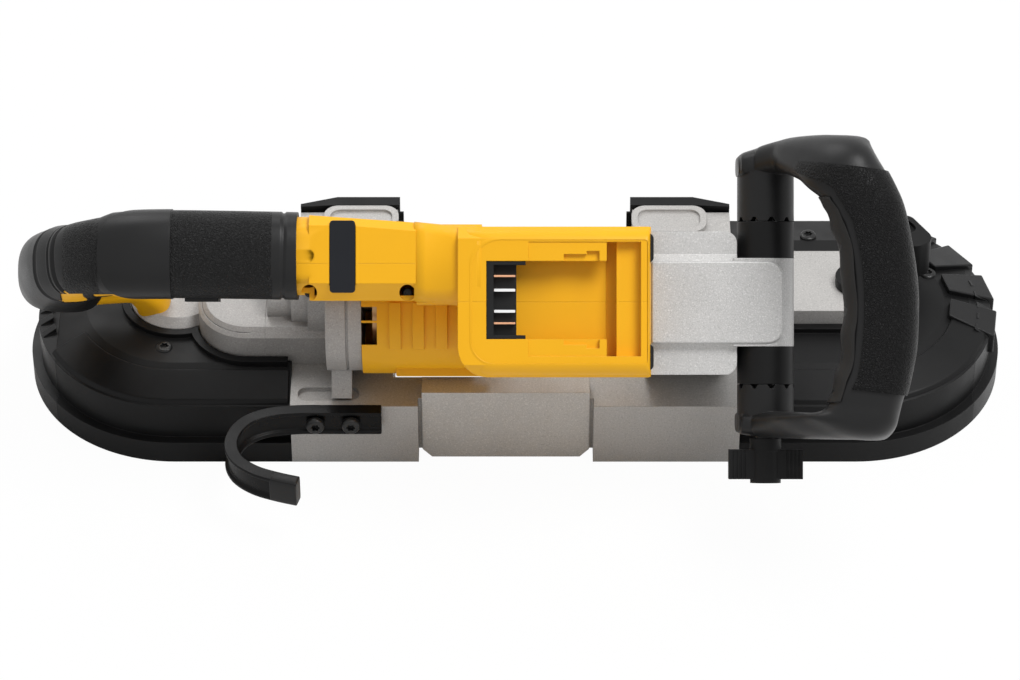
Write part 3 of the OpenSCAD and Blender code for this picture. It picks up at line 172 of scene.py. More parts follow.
class Finish:
    """A material's node tree, with short calls for what the finishes share."""

    def __init__(self, name, colour, rough, metal=0.0, shine=0.5):
        self.material = bpy.data.materials.new(name)
        self.material.use_nodes = True
        self.tree = self.material.node_tree
        self.shader = self.tree.nodes["Principled BSDF"]
        self.shader.inputs["Metallic"].default_value = metal
        self.shader.inputs["Specular IOR Level"].default_value = shine
        self.colour = (*colour, 1.0)
        self.rough = rough
        self.place = self.add("ShaderNodeTexCoord").outputs["Object"]

    def add(self, kind, **inputs):
        node = self.tree.nodes.new(kind)
        for name, value in inputs.items():
            node.inputs[name.replace("_", " ")].default_value = value
        return node

    def join(self, a, b):
        self.tree.links.new(a, b)

    def maths(self, what, a, b):
        node = self.add("ShaderNodeMath")
        node.operation = what
        for socket, value in zip(node.inputs, (a, b)):
            if hasattr(value, "is_linked"):
                self.join(value, socket)
            else:
                socket.default_value = value
        return node.outputs[0]

    def noise(self, scale, detail=3.0, roughness=0.5, warp=0.0):
        node = self.add("ShaderNodeTexNoise", Scale=scale, Detail=detail, Roughness=roughness,
                        Distortion=warp)
        self.join(self.place, node.inputs["Vector"])
        return node.outputs["Fac"]

    def spread(self, value, low, high, from_low=0.3, from_high=0.7):
        node = self.add("ShaderNodeMapRange")
        node.inputs["From Min"].default_value = from_low
        node.inputs["From Max"].default_value = from_high
        node.inputs["To Min"].default_value = low
        node.inputs["To Max"].default_value = high
        self.join(value, node.inputs["Value"])
        return node.outputs["Result"]

    def blend(self, share, a, b):
        node = self.add("ShaderNodeMix")
        node.data_type = "RGBA"
        for name, value in (("A", a), ("B", b)):
            socket = [s for s in node.inputs if s.name == name and s.type == "RGBA"][0]
            if hasattr(value, "is_linked"):
                self.join(value, socket)
            else:
                socket.default_value = value
        self.join(share, node.inputs["Factor"])
        return [s for s in node.outputs if s.type == "RGBA"][0]

    def edges(self, radius):
        """Rounds the shading of sharp edges, and gives how near an edge a point is."""
        bevel = self.add("ShaderNodeBevel", Radius=radius)
        bevel.samples = 4
        flat = self.add("ShaderNodeNewGeometry")
        dot = self.add("ShaderNodeVectorMath")
        dot.operation = "DOT_PRODUCT"
        self.join(bevel.outputs["Normal"], dot.inputs[0])
        self.join(flat.outputs["Normal"], dot.inputs[1])
        return bevel.outputs["Normal"], self.spread(dot.outputs["Value"], 1.0, 0.0, 0.80, 0.995)

    def close(self, tints, grain, wear_and_highlight=None, radius=0.0006, speckle=None, relief=None):
        """tints: darkest and lightest share of the colour; grain: scale, height and strength of the
        bumps; the edge colour: its colour and share on the lighter edges, which are partly worn and
        partly a painted highlight where they catch the light; speckle: scale and strength of light
        grains; relief: a second, coarser height and its distance."""
        normal, edge = self.edges(radius)
        dark = tuple(c * tints[0] for c in self.colour[:3]) + (1.0,)
        light = tuple(min(1.0, c * tints[1]) for c in self.colour[:3]) + (1.0,)
        cloud = self.spread(self.noise(18.0, 4.0), 0.0, 1.0)
        colour = self.blend(cloud, dark, light)
        fine = self.noise(grain[0], 2.0, 0.6)
        if speckle:
            grains = self.spread(self.noise(speckle[0], 2.0, 0.7), 0.0, speckle[1], 0.52, 0.68)
            colour = self.blend(grains, colour, tuple(min(1.0, c * 1.55) for c in self.colour[:3]) + (1.0,))
            pits = self.spread(self.noise(speckle[0] * 0.83, 2.0, 0.7), speckle[1], 0.0, 0.32, 0.46)
            colour = self.blend(pits, colour, tuple(c * 0.62 for c in self.colour[:3]) + (1.0,))
        # lighter edges: partly worn and partly a painted highlight where the edges catch the light
        if wear_and_highlight:
            rub_and_highlight = self.maths("MULTIPLY", edge, self.spread(self.noise(160.0, 3.0), 0.0, wear_and_highlight[1], 0.45, 0.7))
            colour = self.blend(rub_and_highlight, colour, (*wear_and_highlight[0], 1.0))
        self.join(colour, self.shader.inputs["Base Color"])
        self.join(self.spread(self.noise(55.0, 3.0), *self.rough), self.shader.inputs["Roughness"])
        if relief:
            coarse = self.add("ShaderNodeBump", Strength=0.9, Distance=relief[1])
            self.join(relief[0], coarse.inputs["Height"])
            self.join(normal, coarse.inputs["Normal"])
            normal = coarse.outputs["Normal"]
        bump = self.add("ShaderNodeBump", Strength=grain[2], Distance=grain[1])
        self.join(fine, bump.inputs["Height"])
        self.join(normal, bump.inputs["Normal"])
        self.join(bump.outputs["Normal"], self.shader.inputs["Normal"])
        return self.material


def wrinkled_rubber(name, grey, shine):
    """Overmoulded rubber with short wavy ridges, as on both grips."""
    made = Finish(name, (grey, grey, grey * 1.02), (0.34, 0.46), shine=shine)
    ridges = made.spread(made.noise(950.0, 1.0, 0.5, 0.8), 0.0, 1.0, 0.36, 0.62)
    return made.close((0.85, 1.15), (3000.0, 0.00005, 0.4), ((0.05, 0.05, 0.05), 0.3),
                      relief=(ridges, 0.0007))


def make_finishes():
    """Every finish by its name: colour, least and greatest roughness, metal and shine, and then what
    Finish.close makes of it."""
    made = {}
    made["cast_grey"] = Finish("cast_grey", (0.48, 0.475, 0.468), (0.34, 0.5), 0.25).close(
        (0.94, 1.05), (1500.0, 0.00016, 0.7), ((0.66, 0.65, 0.64), 0.35), speckle=(1300.0, 0.5))
    made["cast_dark"] = Finish("cast_dark", (0.50, 0.487, 0.468), (0.36, 0.54), 0.2).close(
        (0.93, 1.05), (1500.0, 0.00016, 0.7), ((0.60, 0.59, 0.58), 0.35), speckle=(1300.0, 0.5))
    made["case_grey"] = Finish("case_grey", (0.33, 0.317, 0.305), (0.36, 0.54), 0.2).close(
        (0.93, 1.05), (1500.0, 0.00016, 0.7), ((0.5, 0.49, 0.48), 0.35), speckle=(1300.0, 0.5))
    # painted shade: a darker copy of the grey casting for the main frame, standing in for the shade that
    # the front handle casts on it
    made["frame_grey_painted_shade"] = Finish("frame_grey_painted_shade", (0.40, 0.389, 0.376), (0.34, 0.5), 0.25).close(
        (0.94, 1.05), (1500.0, 0.00016, 0.7), ((0.58, 0.57, 0.56), 0.35), speckle=(1300.0, 0.5))
    # painted shade: a still darker copy of the grey casting for the plate of the slide, standing in for the
    # front handle's shade on it
    made["slide_grey_painted_shade"] = Finish("slide_grey_painted_shade", (0.25, 0.24, 0.235), (0.4, 0.55), 0.2).close(
        (0.93, 1.05), (1500.0, 0.00010, 0.6), speckle=(1300.0, 0.4))
    made["guard_black"] = Finish("guard_black", (0.0060, 0.0060, 0.0062), (0.36, 0.5), shine=0.15).close(
        (0.85, 1.15), (3200.0, 0.00005, 0.5), ((0.05, 0.05, 0.05), 0.4))
    made["rubber_black"] = Finish("rubber_black", (0.0085, 0.0085, 0.0088), (0.34, 0.46), shine=0.22).close(
        (0.85, 1.15), (3600.0, 0.00007, 0.6), ((0.045, 0.045, 0.045), 0.3))
    made["housing_yellow"] = Finish("housing_yellow", (0.81, 0.405, 0.009), (0.34, 0.46), shine=0.22).close(
        (0.97, 1.03), (3000.0, 0.00004, 0.4), ((0.90, 0.52, 0.09), 0.3))
    made["inner_black"] = Finish("inner_black", (0.007, 0.007, 0.0072), (0.5, 0.7), shine=0.2).close(
        (0.85, 1.2), (3000.0, 0.00005, 0.5))
    made["steel"] = Finish("steel", (0.56, 0.56, 0.57), (0.22, 0.38), 0.95).close(
        (0.9, 1.06), (1800.0, 0.00002, 0.4), radius=0.0004)
    made["black_steel"] = Finish("black_steel", (0.012, 0.012, 0.012), (0.24, 0.4), shine=0.3).close(
        (0.85, 1.2), (2400.0, 0.00004, 0.4), ((0.12, 0.12, 0.12), 0.3), radius=0.0006)
    made["copper"] = Finish("copper", (0.80, 0.42, 0.25), (0.2, 0.36), 0.95).close(
        (0.92, 1.05), (1800.0, 0.00002, 0.4), radius=0.0003)
    made["bronze"] = Finish("bronze", (0.55, 0.33, 0.16), (0.3, 0.5), 0.8).close(
        (0.9, 1.08), (1500.0, 0.00004, 0.4), radius=0.0004)
    made["wrinkled_rubber"] = wrinkled_rubber("wrinkled_rubber", 0.007, 0.17)
    made["front_rubber"] = wrinkled_rubber("front_rubber", 0.005, 0.12)
    made["liner_black"] = Finish("liner_black", (0.016, 0.0155, 0.015), (0.5, 0.66), shine=0.2).close(
        (0.9, 1.1), (3600.0, 0.00006, 0.5), ((0.07, 0.07, 0.07), 0.4))
    # painted highlight: the strong light grey on the hook's edges stands in for the bright streaks along
    # its glossy lips, with some wear
    made["hook_black"] = Finish("hook_black", (0.004, 0.004, 0.0042), (0.24, 0.34), shine=0.12).close(
        (0.9, 1.1), (2600.0, 0.00005, 0.5), ((0.30, 0.30, 0.30), 0.6), radius=0.0004)
    made["bright_steel"] = Finish("bright_steel", (0.82, 0.82, 0.82), (0.3, 0.4), 0.3).close(
        (0.95, 1.05), (1800.0, 0.00001, 0.3), radius=0.0002)
    made["plate_black"] = Finish("plate_black", (0.008, 0.009, 0.012), (0.28, 0.36), shine=0.2).close(
        (0.95, 1.05), (2500.0, 0.00001, 0.3))
    return made


finishes = make_finishes()


# Shapes

def make(bm, name, body, finish, space=TOOL, replaces=(), sharp=40.0, solid=0.0, edge=0.0):
    """Puts a bmesh in the scene as a piece that rides on a body. sharp: the angle from which an edge
    is drawn hard; solid: the wall that a skin gets on its inside; edge: how far edges are rounded."""
    bmesh.ops.remove_doubles(bm, verts=bm.verts, dist=0.002)
    bmesh.ops.recalc_face_normals(bm, faces=bm.faces)
    bm.transform(space)
    mesh = bpy.data.meshes.new(name)
    bm.to_mesh(mesh)
    bm.free()
    piece = bpy.data.objects.new(name, mesh)
    bpy.context.scene.collection.objects.link(piece)
    mesh.materials.append(finishes[finish])
    mesh.polygons.foreach_set("use_smooth", [True] * len(mesh.polygons))
    mesh.set_sharp_from_angle(angle=math.radians(sharp))
    if solid:
        wall = piece.modifiers.new("wall", "SOLIDIFY")
        wall.thickness = solid * MM
        wall.offset = -1.0
        wall.use_even_offset = True
    if edge:
        soften(piece, edge)
    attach(piece, body)
    if replaces:
        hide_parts(*replaces)
    return piece


def soften(piece, width, angle=38.0):
    bevel = piece.modifiers.new("edges", "BEVEL")
    bevel.width = width * MM
    bevel.segments = 2
    bevel.limit_method = "ANGLE"
    bevel.angle_limit = math.radians(angle)
    bevel.use_clamp_overlap = True
    bevel.harden_normals = True


def spline(points, steps):
    """Smooth points through the given ones, with this many steps to each span."""
    ends = [points[0]] + list(points) + [points[-1]]
    out = []
    for i in range(len(points) - 1):
        a, b, c, d = (Vector(p) for p in ends[i:i + 4])
        for k in range(steps):
            t = k / steps
            out.append(((2 * b) + (c - a) * t + (2 * a - 5 * b + 4 * c - d) * t ** 2
                        + (3 * b - a - 3 * c + d) * t ** 3) / 2)
    return out + [Vector(points[-1])]


def squircle(sides, power):
    """Points of a circle drawn towards a square, from 2 for a circle upwards."""
    out = []
    for k in range(sides):
        c, s = math.cos(math.tau * k / sides), math.sin(math.tau * k / sides)
        out.append((math.copysign(abs(c) ** (2 / power), c), math.copysign(abs(s) ** (2 / power), s)))
    return out


def station(centre, side, rise, onward):
    """Where one section of a loft stands: its two half widths and the way that it faces."""
    place = Matrix((side, rise, onward)).transposed().to_4x4()
    place.translation = centre
    return place


def loft(bm, outline, stations, capped=True):
    """Carries an outline from station to station and closes its two ends."""
    ring = [bm.verts.new(stations[0] @ Vector((*p, 0.0))) for p in outline]
    first = [bm.edges.new(pair) for pair in zip(ring, ring[1:] + ring[:1])]
    edges = first
    for here, there in zip(stations, stations[1:]):
        made = bmesh.ops.extrude_edge_only(bm, edges=edges)["geom"]
        verts = {g for g in made if isinstance(g, bmesh.types.BMVert)}
        edges = [g for g in made if isinstance(g, bmesh.types.BMEdge) and set(g.verts) <= verts]
        bmesh.ops.transform(bm, matrix=there @ here.inverted(), verts=list(verts))
    if capped:
        for loop in (first, edges):
            bmesh.ops.contextual_create(bm, geom=loop)


def cut(bm, point, normal):
    """Cuts away what lies past a plane, and leaves the cut open."""
    bmesh.ops.bisect_plane(bm, geom=bm.verts[:] + bm.edges[:] + bm.faces[:], dist=0.0005,
                           plane_co=point, plane_no=normal, clear_outer=True)


def window(bm, low, high):
    """Cuts a box-shaped opening in a skin."""
    for axis in range(3):
        for corner in (low, high):
            normal = Vector((0.0, 0.0, 0.0))
            normal[axis] = 1.0
            bmesh.ops.bisect_plane(bm, geom=bm.verts[:] + bm.edges[:] + bm.faces[:], dist=0.0005,
                                   plane_co=corner, plane_no=normal)
    inside = [f for f in bm.faces
              if all(l < c < h for l, c, h in zip(low, f.calc_center_median(), high))]
    bmesh.ops.delete(bm, geom=inside, context="FACES")


def arc_outline(power, start, end, sides):
    """Part of a squircle, from one angle in degrees to another."""
    out = []
    for k in range(sides + 1):
        turn = math.radians(start + (end - start) * k / sides)
        c, s = math.cos(turn), math.sin(turn)
        out.append((math.copysign(abs(c) ** (2 / power), c), math.copysign(abs(s) ** (2 / power), s)))
    return out


# Rear handle: the path of its middle, with its half width and half height, as the solids have it
GRIP_PATH = [(-104, 37, 145, 20, 18), (-183, 38, 147, 20, 18), (-213, 36, 138, 19, 18),
             (-230, 33, 112, 17.5, 18), (-239, 30, 78, 18, 18), (-234, 27, 52, 16, 16)]
SKIN = 2.2
CAP_STEP = 1.5                # how much thinner the skin is past the cap
SKIN_START, NECK_BAND, CAP_START = -110.0, -122.4, -173.3    # X of its ends towards the neck
GRIP_SIDES = 72
GRIP_POWER = 2.6


def skin_station(here, onward, grow):
    side = Vector((0.0, 1.0, 0.0))
    side = (side - onward * side.dot(onward)).normalized()
    rise = onward.cross(side)
    return station(Vector(here[:3]), side * (here[3] + grow), rise * (here[4] + grow), onward)


def grip_stations(grow, steps=24, grooves=(), thinned=True):
    """Stations along the rear handle, square to its path and grown all round by a skin. A groove is
    given by where along the path it lies, half its width and its depth."""
    path = spline(GRIP_PATH, steps)
    out = []
    for i, here in enumerate(path):
        ahead = path[min(i + 1, len(path) - 1)] - path[max(i - 1, 0)]
        deep = 0.0
        for at, wide, depth in grooves:
            deep = max(deep, depth * max(0.0, 1.0 - ((i / steps - at) / wide) ** 2))
        thin = CAP_STEP * min(1.0, max(0.0, (i / steps - 1.45) / 0.2), max(0.0, (2.75 - i / steps) / 0.25))
        out.append(skin_station(here, Vector(ahead[:3]).normalized(), grow - deep - thin * thinned))
    return out


# Grooves round the rear handle: two before the smooth band at the neck, one where the cap ends and
# two where the handle turns down
GRIP_GROOVES = ((0.225, 0.012, 0.9), (2.33, 0.05, 1.6), (2.45, 0.03, 1.2), (2.80, 0.07, 1.1))
# Openings in the rear handle's skin, by their low and high corners
TRIGGER_OPENING = ((-223.0, 22.0, 66.0), (-166.0, 42.0, 118.0))
LOCK_OPENING = ((-227.0, 39.0, 115.0), (-213.0, 70.0, 131.0))
WINDOWS = (((-231.5, -20.0, 116.0), (-219.0, 18.0, 150.0)), ((-213.5, -20.0, 136.0), (-195.0, 17.6, 160.0)))


def make_rear_handle():
    """Rubber skin of the rear handle with its windows on the yellow shell, and the smooth cap on it."""
    bm = bmesh.new()
    loft(bm, squircle(GRIP_SIDES, GRIP_POWER), grip_stations(SKIN, 100, GRIP_GROOVES), capped=False)
    cut(bm, (SKIN_START, 0.0, 0.0), (1.0, 0.0, 0.0))
    cut(bm, (-238.5, 0.0, 60.0), (-0.25, 0.0, -1.0))
    for low, high in WINDOWS:
        window(bm, low, high)
    window(bm, *TRIGGER_OPENING)
    window(bm, *LOCK_OPENING)
    skin = make(bm, "rear_grip_skin", "frame", "wrinkled_rubber",
                replaces=("rear_grip",), solid=2.0, sharp=50.0)
    skin.data.materials.append(finishes["rubber_black"])
    for face in skin.data.polygons:
        middle = TOOL.inverted() @ face.center
        smooth = middle.x > NECK_BAND or -210.0 < middle.x < CAP_START or middle.x < -229.0
        face.material_index = 1 if smooth or middle.z < 112.0 else 0
    # yellow panes in the windows
    bm = bmesh.new()
    loft(bm, squircle(GRIP_SIDES, GRIP_POWER), grip_stations(SKIN - 0.5, 30), capped=False)
    kept = [f for f in bm.faces if not any(
        low[0] - 1 < f.calc_center_median().x < high[0] + 1 and f.calc_center_median().y < high[1] + 1
        for low, high in WINDOWS) or f.calc_center_median().z < 112]
    bmesh.ops.delete(bm, geom=kept, context="FACES")
    make(bm, "handle_panes", "frame", "housing_yellow", solid=1.5, sharp=50.0)
    # smooth cap over the bend, ending on a slant
    bm = bmesh.new()
    loft(bm, squircle(GRIP_SIDES, GRIP_POWER), grip_stations(SKIN + 0.5, 60, thinned=False), capped=False)
    cut(bm, (CAP_START, 0.0, 0.0), (1.0, 0.0, 0.0))
    cut(bm, (-206.0, 0.0, 160.0), (-0.61, 0.0, -0.79))
    cap = make(bm, "rear_grip_cap", "frame", "rubber_black", solid=2.4, sharp=50.0)
    soften(cap, 0.8)


# Front handle: inner and outer edge (X, across), height and half height of each section
HANDLE_SECTIONS = [
    (112.5, 77.5, 112.5, 87, 135.6, 9), (116, 77, 116, 89.8, 135.6, 13), (127, 77, 127, 93, 137, 14.4),
    (140, 78.5, 140, 96, 150, 14.4), (144, 76.5, 148, 97, 161, 15.5), (149, 72.5, 160, 96.9, 175, 17),
    (151.5, 66.5, 172.6, 94.5, 186, 18), (153.5, 60, 180.5, 83, 189, 18), (156, 53, 187, 71, 190, 17.6),
    (158.3, 47, 192, 58, 190, 17.6), (161, 36, 196, 38, 190, 17.6), (162.6, 19.6, 198.2, 20, 190, 17.6),
    (162.6, 4, 198.3, 4, 190, 17.6), (161.9, -4.5, 197.5, -10, 190, 17.6),
    (160.8, -16.7, 194.5, -26, 190, 17.6), (158.5, -25, 192, -34.7, 190, 17.6),
    (156.2, -32.4, 190, -43, 189.5, 17.2), (154.3, -38, 187.6, -50.4, 189, 17),
    (151, -41, 181.5, -55, 187, 17), (146, -41.5, 170, -55, 181, 15), (141, -41.5, 155, -55, 171, 16),
    (136, -41.5, 141, -55, 154, 15), (128, -41.5, 128, -54.8, 138, 14.4),
    (117, -41.7, 116, -53.5, 135.6, 13),
    (112.5, -42.5, 112.5, -52, 135.6, 9)]
HANDLE_STEPS = 5


def handle_stations(grow=0.0, first=0, last=24, bumps=0.0):
    """Stations along the front handle between two of its sections."""
    path = spline(HANDLE_SECTIONS, HANDLE_STEPS)
    out = []
    for i in range(first * HANDLE_STEPS, last * HANDLE_STEPS + 1):
        xi, yi, xo, yo, up, half = path[i]
        inner, outer = Vector((xi, yi, up)), Vector((xo, yo, up))
        middles = [Vector(((p[0] + p[2]) / 2, (p[1] + p[3]) / 2, p[4]))
                   for p in (path[max(i - 1, 0)], path[min(i + 1, len(path) - 1)])]
        side = (outer - inner) / 2
        way = (middles[1] - middles[0]).normalized()
        lean = way.z if way.x > 0 else -way.z
        rise = Vector((-lean, 0.0, abs(way.x) + abs(way.y))).normalized()
        onward = rise.cross(side.normalized())
        wave = bumps * math.sin(i * 0.62)
        out.append(station((inner + outer) / 2, side + side.normalized() * (grow + wave),
                           rise * (half + grow), onward))
    return out


PIVOT_X, PIVOT_UP, BARREL_R = 127.0, 135.6, 14.4
BARREL_SIDES = 120
NOTCHES = 10


def barrel(bm, start, end, notch_end):
    """One barrel of the front handle, round the pivot axis, with notches in the edge at its collar."""
    ring = [(math.cos(math.tau * k / BARREL_SIDES), math.sin(math.tau * k / BARREL_SIDES))
            for k in range(BARREL_SIDES)]

    def disc(y, r):
        return station(Vector((PIVOT_X, y, PIVOT_UP)), Vector((r, 0, 0)), Vector((0, 0, r)),
                       Vector((0, -1, 0)))

    inward = 1.0 if start > notch_end or end > notch_end else -1.0
    far = start if abs(start - notch_end) > abs(end - notch_end) else end
    before = set(bm.verts)
    loft(bm, ring, [disc(far, BARREL_R), disc(notch_end + 2.2 * inward, BARREL_R),
                    disc(notch_end, BARREL_R),
                    disc(notch_end, BARREL_R - 2.6), disc(notch_end + 4 * inward, BARREL_R - 2.8)])
    step = BARREL_SIDES // NOTCHES
    for v in [v for v in bm.verts if v not in before and abs(v.co.y - notch_end) < 0.01]:
        turn = math.atan2(v.co.z - PIVOT_UP, v.co.x - PIVOT_X) / math.tau * BARREL_SIDES
        off = abs((turn + step / 4) % step - step / 2)
        v.co.y += inward * 2.0 * max(0.0, min(1.0, (2.6 - off) / 1.6))


# Where the front handle's patch and liner end, across the tool
PATCH_ENDS = (-32.0, 78.0)
LINER_ENDS = (-36.0, 65.0)
MERGE = 0.3                   # slivers that the cuts leave on them are merged


def make_front_handle():
    """Front handle with its two barrels, the patch on its outer side and the liner inside."""
    bm = bmesh.new()
    loft(bm, squircle(56, 2.7), handle_stations())
    barrel(bm, 54.8, 82.0, 54.8)
    barrel(bm, -50.0, -27.9, -27.9)
    make(bm, "front_handle_body", "front_handle", "rubber_black",
         replaces=("front_handle", "front_grip"), sharp=40.0)
    # the textured skin on the outer side, and the ribbed one inside
    bm = bmesh.new()
    loft(bm, arc_outline(2.7, -112, 112, 40), handle_stations(1.2, 5, 18), capped=False)
    cut(bm, (185.0, PATCH_ENDS[1], 0.0), (0.12, 1.0, 0.0))
    cut(bm, (185.0, PATCH_ENDS[0], 0.0), (-0.12, -1.0, 0.0))
    bmesh.ops.remove_doubles(bm, verts=bm.verts, dist=MERGE)
    patch = make(bm, "front_grip_patch", "front_handle", "front_rubber", solid=1.8,
                 sharp=50.0)
    patch.modifiers["wall"].use_even_offset = False
    bm = bmesh.new()
    loft(bm, arc_outline(2.7, 128, 232, 24), handle_stations(0.5, 5, 18, bumps=0.6), capped=False)
    cut(bm, (0.0, LINER_ENDS[1], 0.0), (0.0, 1.0, 0.0))
    cut(bm, (0.0, LINER_ENDS[0], 0.0), (0.0, -1.0, 0.0))
    bmesh.ops.remove_doubles(bm, verts=bm.verts, dist=MERGE)
    liner = make(bm, "front_grip_liner", "front_handle", "liner_black", solid=1.2,
                 sharp=50.0)
    liner.modifiers["wall"].use_even_offset = False


# Flat shapes and screws

def plate(bm, size, corner, thick, segments=6):
    """A plate with round corners on the plane Z = 0, standing up to its thickness."""
    made = bmesh.ops.create_grid(bm, x_segments=1, y_segments=1, size=0.5)["verts"]
    bmesh.ops.scale(bm, vec=(size[0], size[1], 1.0), verts=made)
    bmesh.ops.bevel(bm, geom=made, offset=corner, affect="VERTICES", segments=segments, profile=0.5,
                    material=-1)
    face = [f for f in bm.faces if all(abs(v.co.z) < 1e-6 for v in f.verts)][-1]
    raised(bm, face, thick)


DRIVE_DEEP = 0.7              # of a screw head's height


def screw(bm, place, r, high, lobes=6, drive=0.55):
    """A screw head with a rounded rim and a lobed recess, its top at the place's height."""
    new = bmesh.new()
    sides = 48
    made = bmesh.ops.create_circle(new, cap_ends=True, segments=sides, radius=r)["verts"]
    top = [f for f in new.faces][0]
    raised(new, top, high)
    crown = [f for f in new.faces if f.calc_center_median().z > high - 1e-4][0]
    rim = [e for e in crown.edges]
    bmesh.ops.bevel(new, geom=rim, offset=r * 0.32, affect="EDGES", segments=4, profile=0.5, material=-1)
    crown = max((f for f in new.faces if f.calc_center_median().z > high - 1e-3),
                key=lambda f: f.calc_area())
    bmesh.ops.inset_region(new, faces=[crown], thickness=r * 0.68 - r * drive)
    crown = max((f for f in new.faces if f.calc_center_median().z > high - 1e-3 and len(f.verts) > 20),
                key=lambda f: -sum(v.co.length for v in f.verts))
    for v in crown.verts:
        turn = math.atan2(v.co.y, v.co.x)
        reach = r * drive * (0.86 + 0.14 * math.cos(turn * lobes))
        v.co.x, v.co.y = reach * math.cos(turn), reach * math.sin(turn)
    raised(new, crown, -high * DRIVE_DEEP)
    if crown.is_valid:
        bmesh.ops.delete(new, geom=[crown], context="FACES_ONLY")
    absorb(bm, new, place)


def raised(bm, face, high):
    """Extrudes a flat face and moves what that makes up by a height."""
    out = bmesh.ops.extrude_face_region(bm, geom=[face])["geom"]
    moved = [g for g in out if isinstance(g, bmesh.types.BMVert)]
    bmesh.ops.translate(bm, vec=(0.0, 0.0, high), verts=moved)


def absorb(bm, other, place):
    """Takes a smaller bmesh into another one, at a place."""
    other.transform(place)
    spare = bpy.data.meshes.new("spare")
    other.to_mesh(spare)
    other.free()
    bm.from_mesh(spare)
    bpy.data.meshes.remove(spare)


def facing(x, y, z, axis=(0, 0, 1)):
    """A place whose own Z points along an axis."""
    return Matrix.Translation(Vector((x, y, z))) @ Vector(axis).to_track_quat("Z", "Y").to_matrix().to_4x4()


def make_plate():
    """Bare plate on the neck, in its bed."""
    bm = bmesh.new()
    plate(bm, (12.9, 36.4), 1.8, 1.2)
    bm.transform(Matrix.Translation((-87.0, 36.5, 159.1)))
    piece = make(bm, "neck_plate", "frame", "plate_black")
    soften(piece, 0.25)


SHELL_SCREWS = (-104.0, -54.5)
GUARD_SCREWS = ((186.0, -38.0), (223.0, 22.0), (160.0, 54.0))
GUARD_TOP = 21.2


def make_screws():
    """Screws of the handle shells, the guards and the hook."""
    bm = bmesh.new()
    for x in SHELL_SCREWS:
        screw(bm, facing(x, 18.5, 148.6), 2.5, 2.0)
    make(bm, "shell_screws", "frame", "black_steel")
    bm = bmesh.new()
    for side in (-1, 1):
        for x, y in GUARD_SCREWS:
            screw(bm, facing(side * x, y, GUARD_TOP - 1.0), 4.4, 2.2)
    make(bm, "guard_screw_heads", "frame", "black_steel", space=WHEEL,
         replaces=("guard_screws",))
    bm = bmesh.new()
    for x in HOOK_SCREWS:
        screw(bm, facing(x, -88.0, HOOK_UP, (0, -1, 0)), 4.9, 3.2, lobes=6, drive=0.5)
    make(bm, "hook_screw_heads", "frame", "black_steel", space=WHEEL,
         replaces=("hook_screws",))


# Hook, in the wheels' frame: the middle of the strip, its section with the raised lips, its height
HOOK_PATH = ((-70, -84.5), (-85, -84.5), (-100, -84.5), (-114, -84.7), (-128, -86.6), (-139, -92.0),
             (-145.5, -101.0), (-147.3, -112.0), (-143.5, -122.5), (-134.5, -130.5), (-123, -135.5),
             (-111.5, -139.0))
HOOK_SECTION = [(-7.5, -3.5), (-7.5, 3.5), (-5.4, 3.5), (-4.4, 1.6), (4.4, 1.6), (5.4, 3.5), (7.5, 3.5),
                (7.5, -3.5), (5.6, -3.5), (4.6, -1.8), (-4.6, -1.8), (-5.6, -3.5)]
HOOK_UP = 12.0
HOOK_SCREWS = (-104.5, -86.0)


def make_hook():
    """Hook: a pressed strip with raised lips, bent round and back, and a rubber-coated tip."""
    path = spline(HOOK_PATH, 5)
    bm = bmesh.new()
    stations = []
    for i, p in enumerate(path):
        onward = (path[min(i + 1, len(path) - 1)] - path[max(i - 1, 0)]).normalized()
        out = Vector((onward.y, -onward.x, 0.0)) * -1.0
        stations.append(station(Vector((p.x, p.y, HOOK_UP)), Vector((0, 0, 1)), out,
                                Vector((onward.x, onward.y, 0.0))))
    loft(bm, HOOK_SECTION, stations)
    hook = make(bm, "hook_strip", "frame", "hook_black", space=WHEEL,
                replaces=("hang_hook",), sharp=34.0)
    soften(hook, 0.6)
    bm = bmesh.new()
    loft(bm, [(x * 7.9, y * 3.9) for x, y in squircle(32, 6.0)], stations[-7:])
    tip = make(bm, "hook_tip", "frame", "rubber_black", space=WHEEL, sharp=50.0)
    soften(tip, 0.8)


def slab(bm, points, low, high):
    """A flat piece with a straight-sided outline, between two heights."""
    verts = [bm.verts.new((x, y, low)) for x, y in points]
    face = bmesh.ops.contextual_create(bm, geom=verts)["faces"][0]
    raised(bm, face, high - low)


def round_box(x, y, r, segments=6):
    """Outline of a rectangle between two x and two y values with its own radius at each corner, from
    the low corner round to the left."""
    out = []
    corners = ((x[0], y[0], 180), (x[1], y[0], 270), (x[1], y[1], 0), (x[0], y[1], 90))
    for (cx, cy, start), radius in zip(corners, r):
        middle = (cx + (radius if cx == x[0] else -radius), cy + (radius if cy == y[0] else -radius))
        for k in range(segments + 1):
            turn = math.radians(start + 90 * k / segments)
            out.append((middle[0] + radius * math.cos(turn), middle[1] + radius * math.sin(turn)))
    return out


def ring_skin(bm, outlines):
    """A skin over a row of outlines, each of them its points and its height."""
    points, z = outlines[0]
    ring = [bm.verts.new((*p, z)) for p in points]
    edges = [bm.edges.new(pair) for pair in zip(ring, ring[1:] + ring[:1])]
    for points, z in outlines[1:]:
        made = bmesh.ops.extrude_edge_only(bm, edges=edges)["geom"]
        verts = [g for g in made if isinstance(g, bmesh.types.BMVert)]
        edges = [g for g in made if isinstance(g, bmesh.types.BMEdge) and set(g.verts) <= set(verts)]
        for v, p in zip(verts, points):
            v.co = (*p, z)


DOCK_EDGES = (-29.3, 68.3, -24.3, 51.8)


